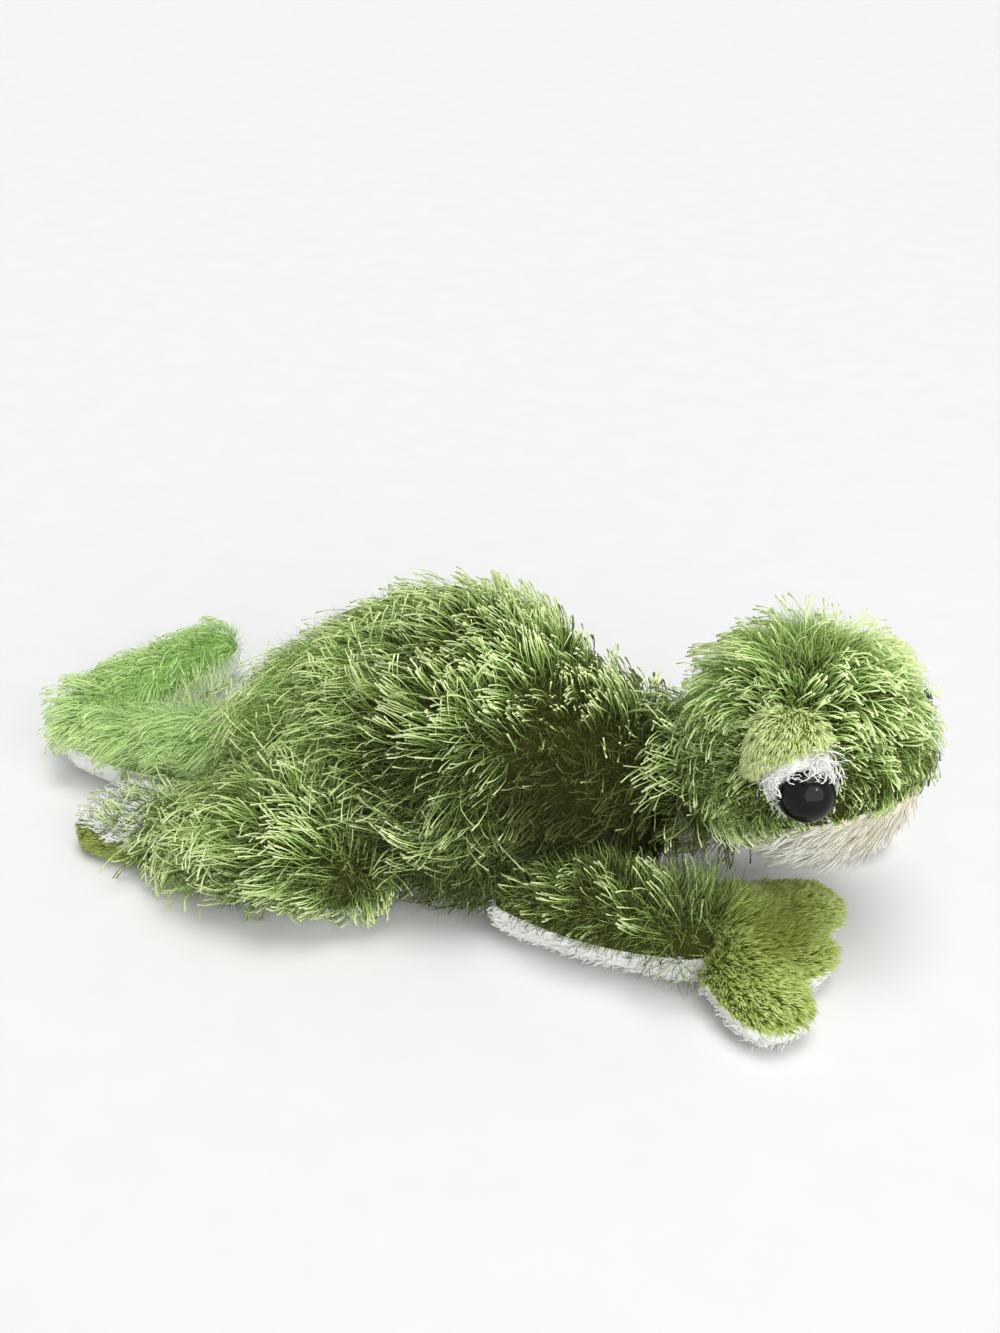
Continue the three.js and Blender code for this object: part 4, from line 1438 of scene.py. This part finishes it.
def pad_coat(side):
    """Loops that lie towards the eye, clear of its lid."""
    eye = np.array(eye_frame(side)[0])
    lid = f"eyelid_skin_{side}"
    return Coat(
        f"eye_pad_{side}", f"eye_pad_skin_{side}", "head", lambda roots, normals: eye - roots,
        keep=lambda roots, normals: distance_from([lid], roots)[0] > LID_BARE,
        length_share=lambda roots, normals: 0.85 + 0.4 * smooth_rise((roots - eye)[:, 2], 2 * MM, 7 * MM),
    )


class GECKO_OT_white(bpy.types.Operator):
    """White and cream pile on the undersides, soles, chin and eye pads"""

    bl_idname = "gecko.white"
    bl_label = "White and cream pile"

    def execute(self, context):
        c = context.scene.gecko_colours
        whites = (c.white_dark, c.white_dark, c.white_mid, c.white_light, c.white_light)
        creams = (c.cream_dark, c.cream_dark, c.cream_mid, c.cream_light, c.cream_light)
        white = pile_material("white_pile", whites, tip_share=0.5, sheen=0.8)
        cream = pile_material("cream_pile", creams, tip_share=0.4, sheen=0.8)
        nap = Pile(
            per_cm2=60, length=3 * MM, width=0.5 * MM,
            rise=(16, 0), points=3, lock=6, lean=0.3,
        )
        fleece = Pile(
            per_cm2=80, length=4 * MM, width=0.4 * MM,
            rise=(20, 0), stray=40, unrest=10, wave=0.6, turns=1.2, points=4, lock=5, lean=0.3,
        )
        tufts = Pile(
            per_cm2=150, length=6 * MM, width=0.42 * MM,
            rise=(62, 18), stray=40, unrest=12, wave=0.5, turns=1.1, points=4, lock=6, lean=0.4,
        )
        chin = Pile(
            per_cm2=110, length=8 * MM, width=0.34 * MM,
            rise=(15, 2), stray=10, swirl=12, unrest=6, wave=0.12, droop=0.4, points=4,
        )
        loops = Pile(
            per_cm2=130, length=6 * MM, width=0.3 * MM, tip=0.26 * MM,
            rise=(46, -30), stray=45, unrest=20, wave=0.9, turns=1.3, points=6,
        )
        belly = Coat("belly", "belly_skin", "torso", towards(-1, 0, 0))
        tail = Coat("tail_underside", "tail_underside_skin", "tail", towards(-1, 0.2, 0))
        grow("pile", belly, "white_plush", white, nap, WHITE_SEED)
        grow("pile", tail, "white_plush", white, nap, WHITE_SEED + 1)
        grow("pile", throat_coat(), "cream_plush", cream, chin, THROAT_SEED)
        grow("pile", chin_coat(), "cream_plush", cream, chin, WHITE_SEED + 2)
        seed = WHITE_SEED + 3
        for side in SIDES:
            for name, skin, body, pile in (
                (f"arm_underside_{side}", f"arm_underside_skin_{side}", f"arm_{side}", fleece),
                (f"leg_underside_{side}", f"leg_underside_skin_{side}", f"leg_{side}", nap),
                (f"palm_{side}", f"palm_skin_{side}", f"hand_{side}", fleece),
                (f"sole_{side}", f"sole_skin_{side}", f"foot_{side}", tufts),
            ):
                grow("pile", Coat(name, skin, body, towards(-1, 0, -0.3)), "white_plush", white, pile, seed)
                seed += 1
            grow("loops", pad_coat(side), "white_plush", white, loops, seed)
            seed += 1
        return {"FINISHED"}


SUN_SPREAD = math.radians(34)
FILL_SPREAD = math.radians(70)
GLINT_ENERGY = 0.25
GLINT_SIZE = 50 * MM
SENSOR_WIDTH = 36  # mm
PICTURE_HEIGHT = 1333  # pixels
PICTURE_SHIFT = (30, 73.5)  # pixels that the toy lies left of and below the middle
NEAREST_SEEN = 10 * MM


def aim(obj, back):
    """Turns an object so that it looks against the direction back."""
    obj.rotation_mode = "QUATERNION"
    obj.rotation_quaternion = back.to_track_quat("Z", "Y")


def add_sun(name, energy, spread, way):
    """A soft lamp far off in the direction way."""
    lamp = bpy.data.lights.new(name, "SUN")
    lamp.energy = energy
    lamp.angle = spread
    aim(new_object(name, lamp), way)


class GECKO_OT_stage(bpy.types.Operator):
    """Pale floor, soft light and the camera"""

    bl_idname = "gecko.stage"
    bl_label = "Stage"

    def execute(self, context):
        stage = context.scene.gecko_stage
        bpy.ops.object.select_all(action="DESELECT")
        bpy.ops.mesh.primitive_plane_add(size=stage.floor)
        floor = context.object
        floor.name = "floor"
        floor.data.materials.append(floor_material())

        world = bpy.data.worlds.new("Soft sky")
        world.use_nodes = True
        tree = world.node_tree
        strength = node(tree, "ShaderNodeMapRange", Value=seen_ray(tree), To_Min=stage.sky, To_Max=SKY_SEEN)
        tree.nodes["Background"].inputs["Color"].default_value = (1, 1, 1, 1)
        tree.links.new(strength.outputs["Result"], tree.nodes["Background"].inputs["Strength"])
        context.scene.world = world

        right = Vector((math.cos(stage.azimuth), math.sin(stage.azimuth), 0))
        away = Vector((-math.sin(stage.azimuth), math.cos(stage.azimuth), 0))
        add_sun("Overhead", stage.sun, SUN_SPREAD, UP + right * 0.06 - away * 0.08)
        add_sun("Front fill", stage.fill, FILL_SPREAD, right * 0.35 - away + UP * 0.4)
        glint = bpy.data.lights.new("Catch light", "AREA")
        glint.energy = GLINT_ENERGY
        glint.size = GLINT_SIZE
        window = new_object("Catch light", glint)
        window.location = right * 0.32 - away * 0.42 + UP * 0.42
        aim(window, window.location - head_middle())

        back = UP * math.sin(stage.elevation) - away * math.cos(stage.elevation)
        view = bpy.data.cameras.new("Camera")
        view.lens = stage.lens
        view.sensor_width = SENSOR_WIDTH
        view.shift_x = PICTURE_SHIFT[0] / PICTURE_HEIGHT
        view.shift_y = PICTURE_SHIFT[1] / PICTURE_HEIGHT
        view.clip_start = NEAREST_SEEN
        camera = new_object("Camera", view)
        camera.location = Vector((0, 0, stage.target_height)) + back * stage.distance
        aim(camera, back)
        context.scene.camera = camera
        context.scene.view_settings.view_transform = "Standard"
        return {"FINISHED"}


FLOOR_GLOW = 0.02  # of the floor, as the camera sees it
SKY_SEEN = 0.94  # strength of the sky, as the camera sees it


def seen_ray(tree):
    """1 for what the camera sees, directly, mirrored or through something, and 0 for other light."""
    path = tree.nodes.new("ShaderNodeLightPath").outputs
    seen = path["Is Camera Ray"]
    for ray in ("Is Glossy Ray", "Is Transmission Ray"):
        both = tree.nodes.new("ShaderNodeMath")
        both.operation = "MAXIMUM"
        tree.links.new(seen, both.inputs[0])
        tree.links.new(path[ray], both.inputs[1])
        seen = both.outputs[0]
    return seen


def floor_material():
    """Matt white paper that keeps shadows, a little brighter to the camera and to reflections."""
    material, tree, shader = new_material("floor_paper")
    place = tree.nodes.new("ShaderNodeTexCoord").outputs["Object"]
    fibre = node(tree, "ShaderNodeTexNoise", Vector=place, Scale=60.0, Detail=5.0)
    tone = mixed(tree, fibre.outputs["Fac"], linear(224, 224, 224), linear(230, 230, 230))
    tree.links.new(tone, shader.inputs["Base Color"])
    shader.inputs["Roughness"].default_value = 1
    shader.inputs["Specular IOR Level"].default_value = 0
    shader.inputs["Emission Color"].default_value = (1, 1, 1, 1)
    tree.links.new(multiplied(tree, seen_ray(tree), FLOOR_GLOW), shader.inputs["Emission Strength"])
    return material


class GECKO_PT_panel(bpy.types.Panel):
    """Lists the gecko's operators"""

    bl_idname = "GECKO_PT_panel"
    bl_label = "Plush gecko"
    bl_space_type = "VIEW_3D"
    bl_region_type = "UI"
    bl_category = "Gecko"

    def draw(self, context):
        for operator in OPERATORS:
            self.layout.operator(operator.bl_idname)
        for group in SETTINGS:
            box = self.layout.box()
            settings = getattr(context.scene, group)
            for name in settings.__annotations__:
                box.prop(settings, name)


OPERATORS = (
    GECKO_OT_stage,
    GECKO_OT_body,
    GECKO_OT_head,
    GECKO_OT_limbs,
    GECKO_OT_paws,
    GECKO_OT_eyes,
    GECKO_OT_shaggy,
    GECKO_OT_lime,
    GECKO_OT_white,
)
SETTINGS = {"gecko_pile": GeckoPile, "gecko_colours": GeckoColours, "gecko_stage": GeckoStage}


def register():
    for group in (*SETTINGS.values(), *OPERATORS, GECKO_PT_panel):
        bpy.utils.register_class(group)
    for name, group in SETTINGS.items():
        setattr(bpy.types.Scene, name, bpy.props.PointerProperty(type=group))


def unregister():
    for name in SETTINGS:
        delattr(bpy.types.Scene, name)
    for group in reversed((*SETTINGS.values(), *OPERATORS, GECKO_PT_panel)):
        bpy.utils.unregister_class(group)


def main():
    register()
    bpy.ops.gecko.stage()
    bpy.ops.gecko.body()
    bpy.ops.gecko.head()
    bpy.ops.gecko.limbs()
    bpy.ops.gecko.paws()
    bpy.ops.gecko.eyes()
    bpy.ops.gecko.shaggy()
    bpy.ops.gecko.lime()
    bpy.ops.gecko.white()


if __name__ == "__main__":
    main()
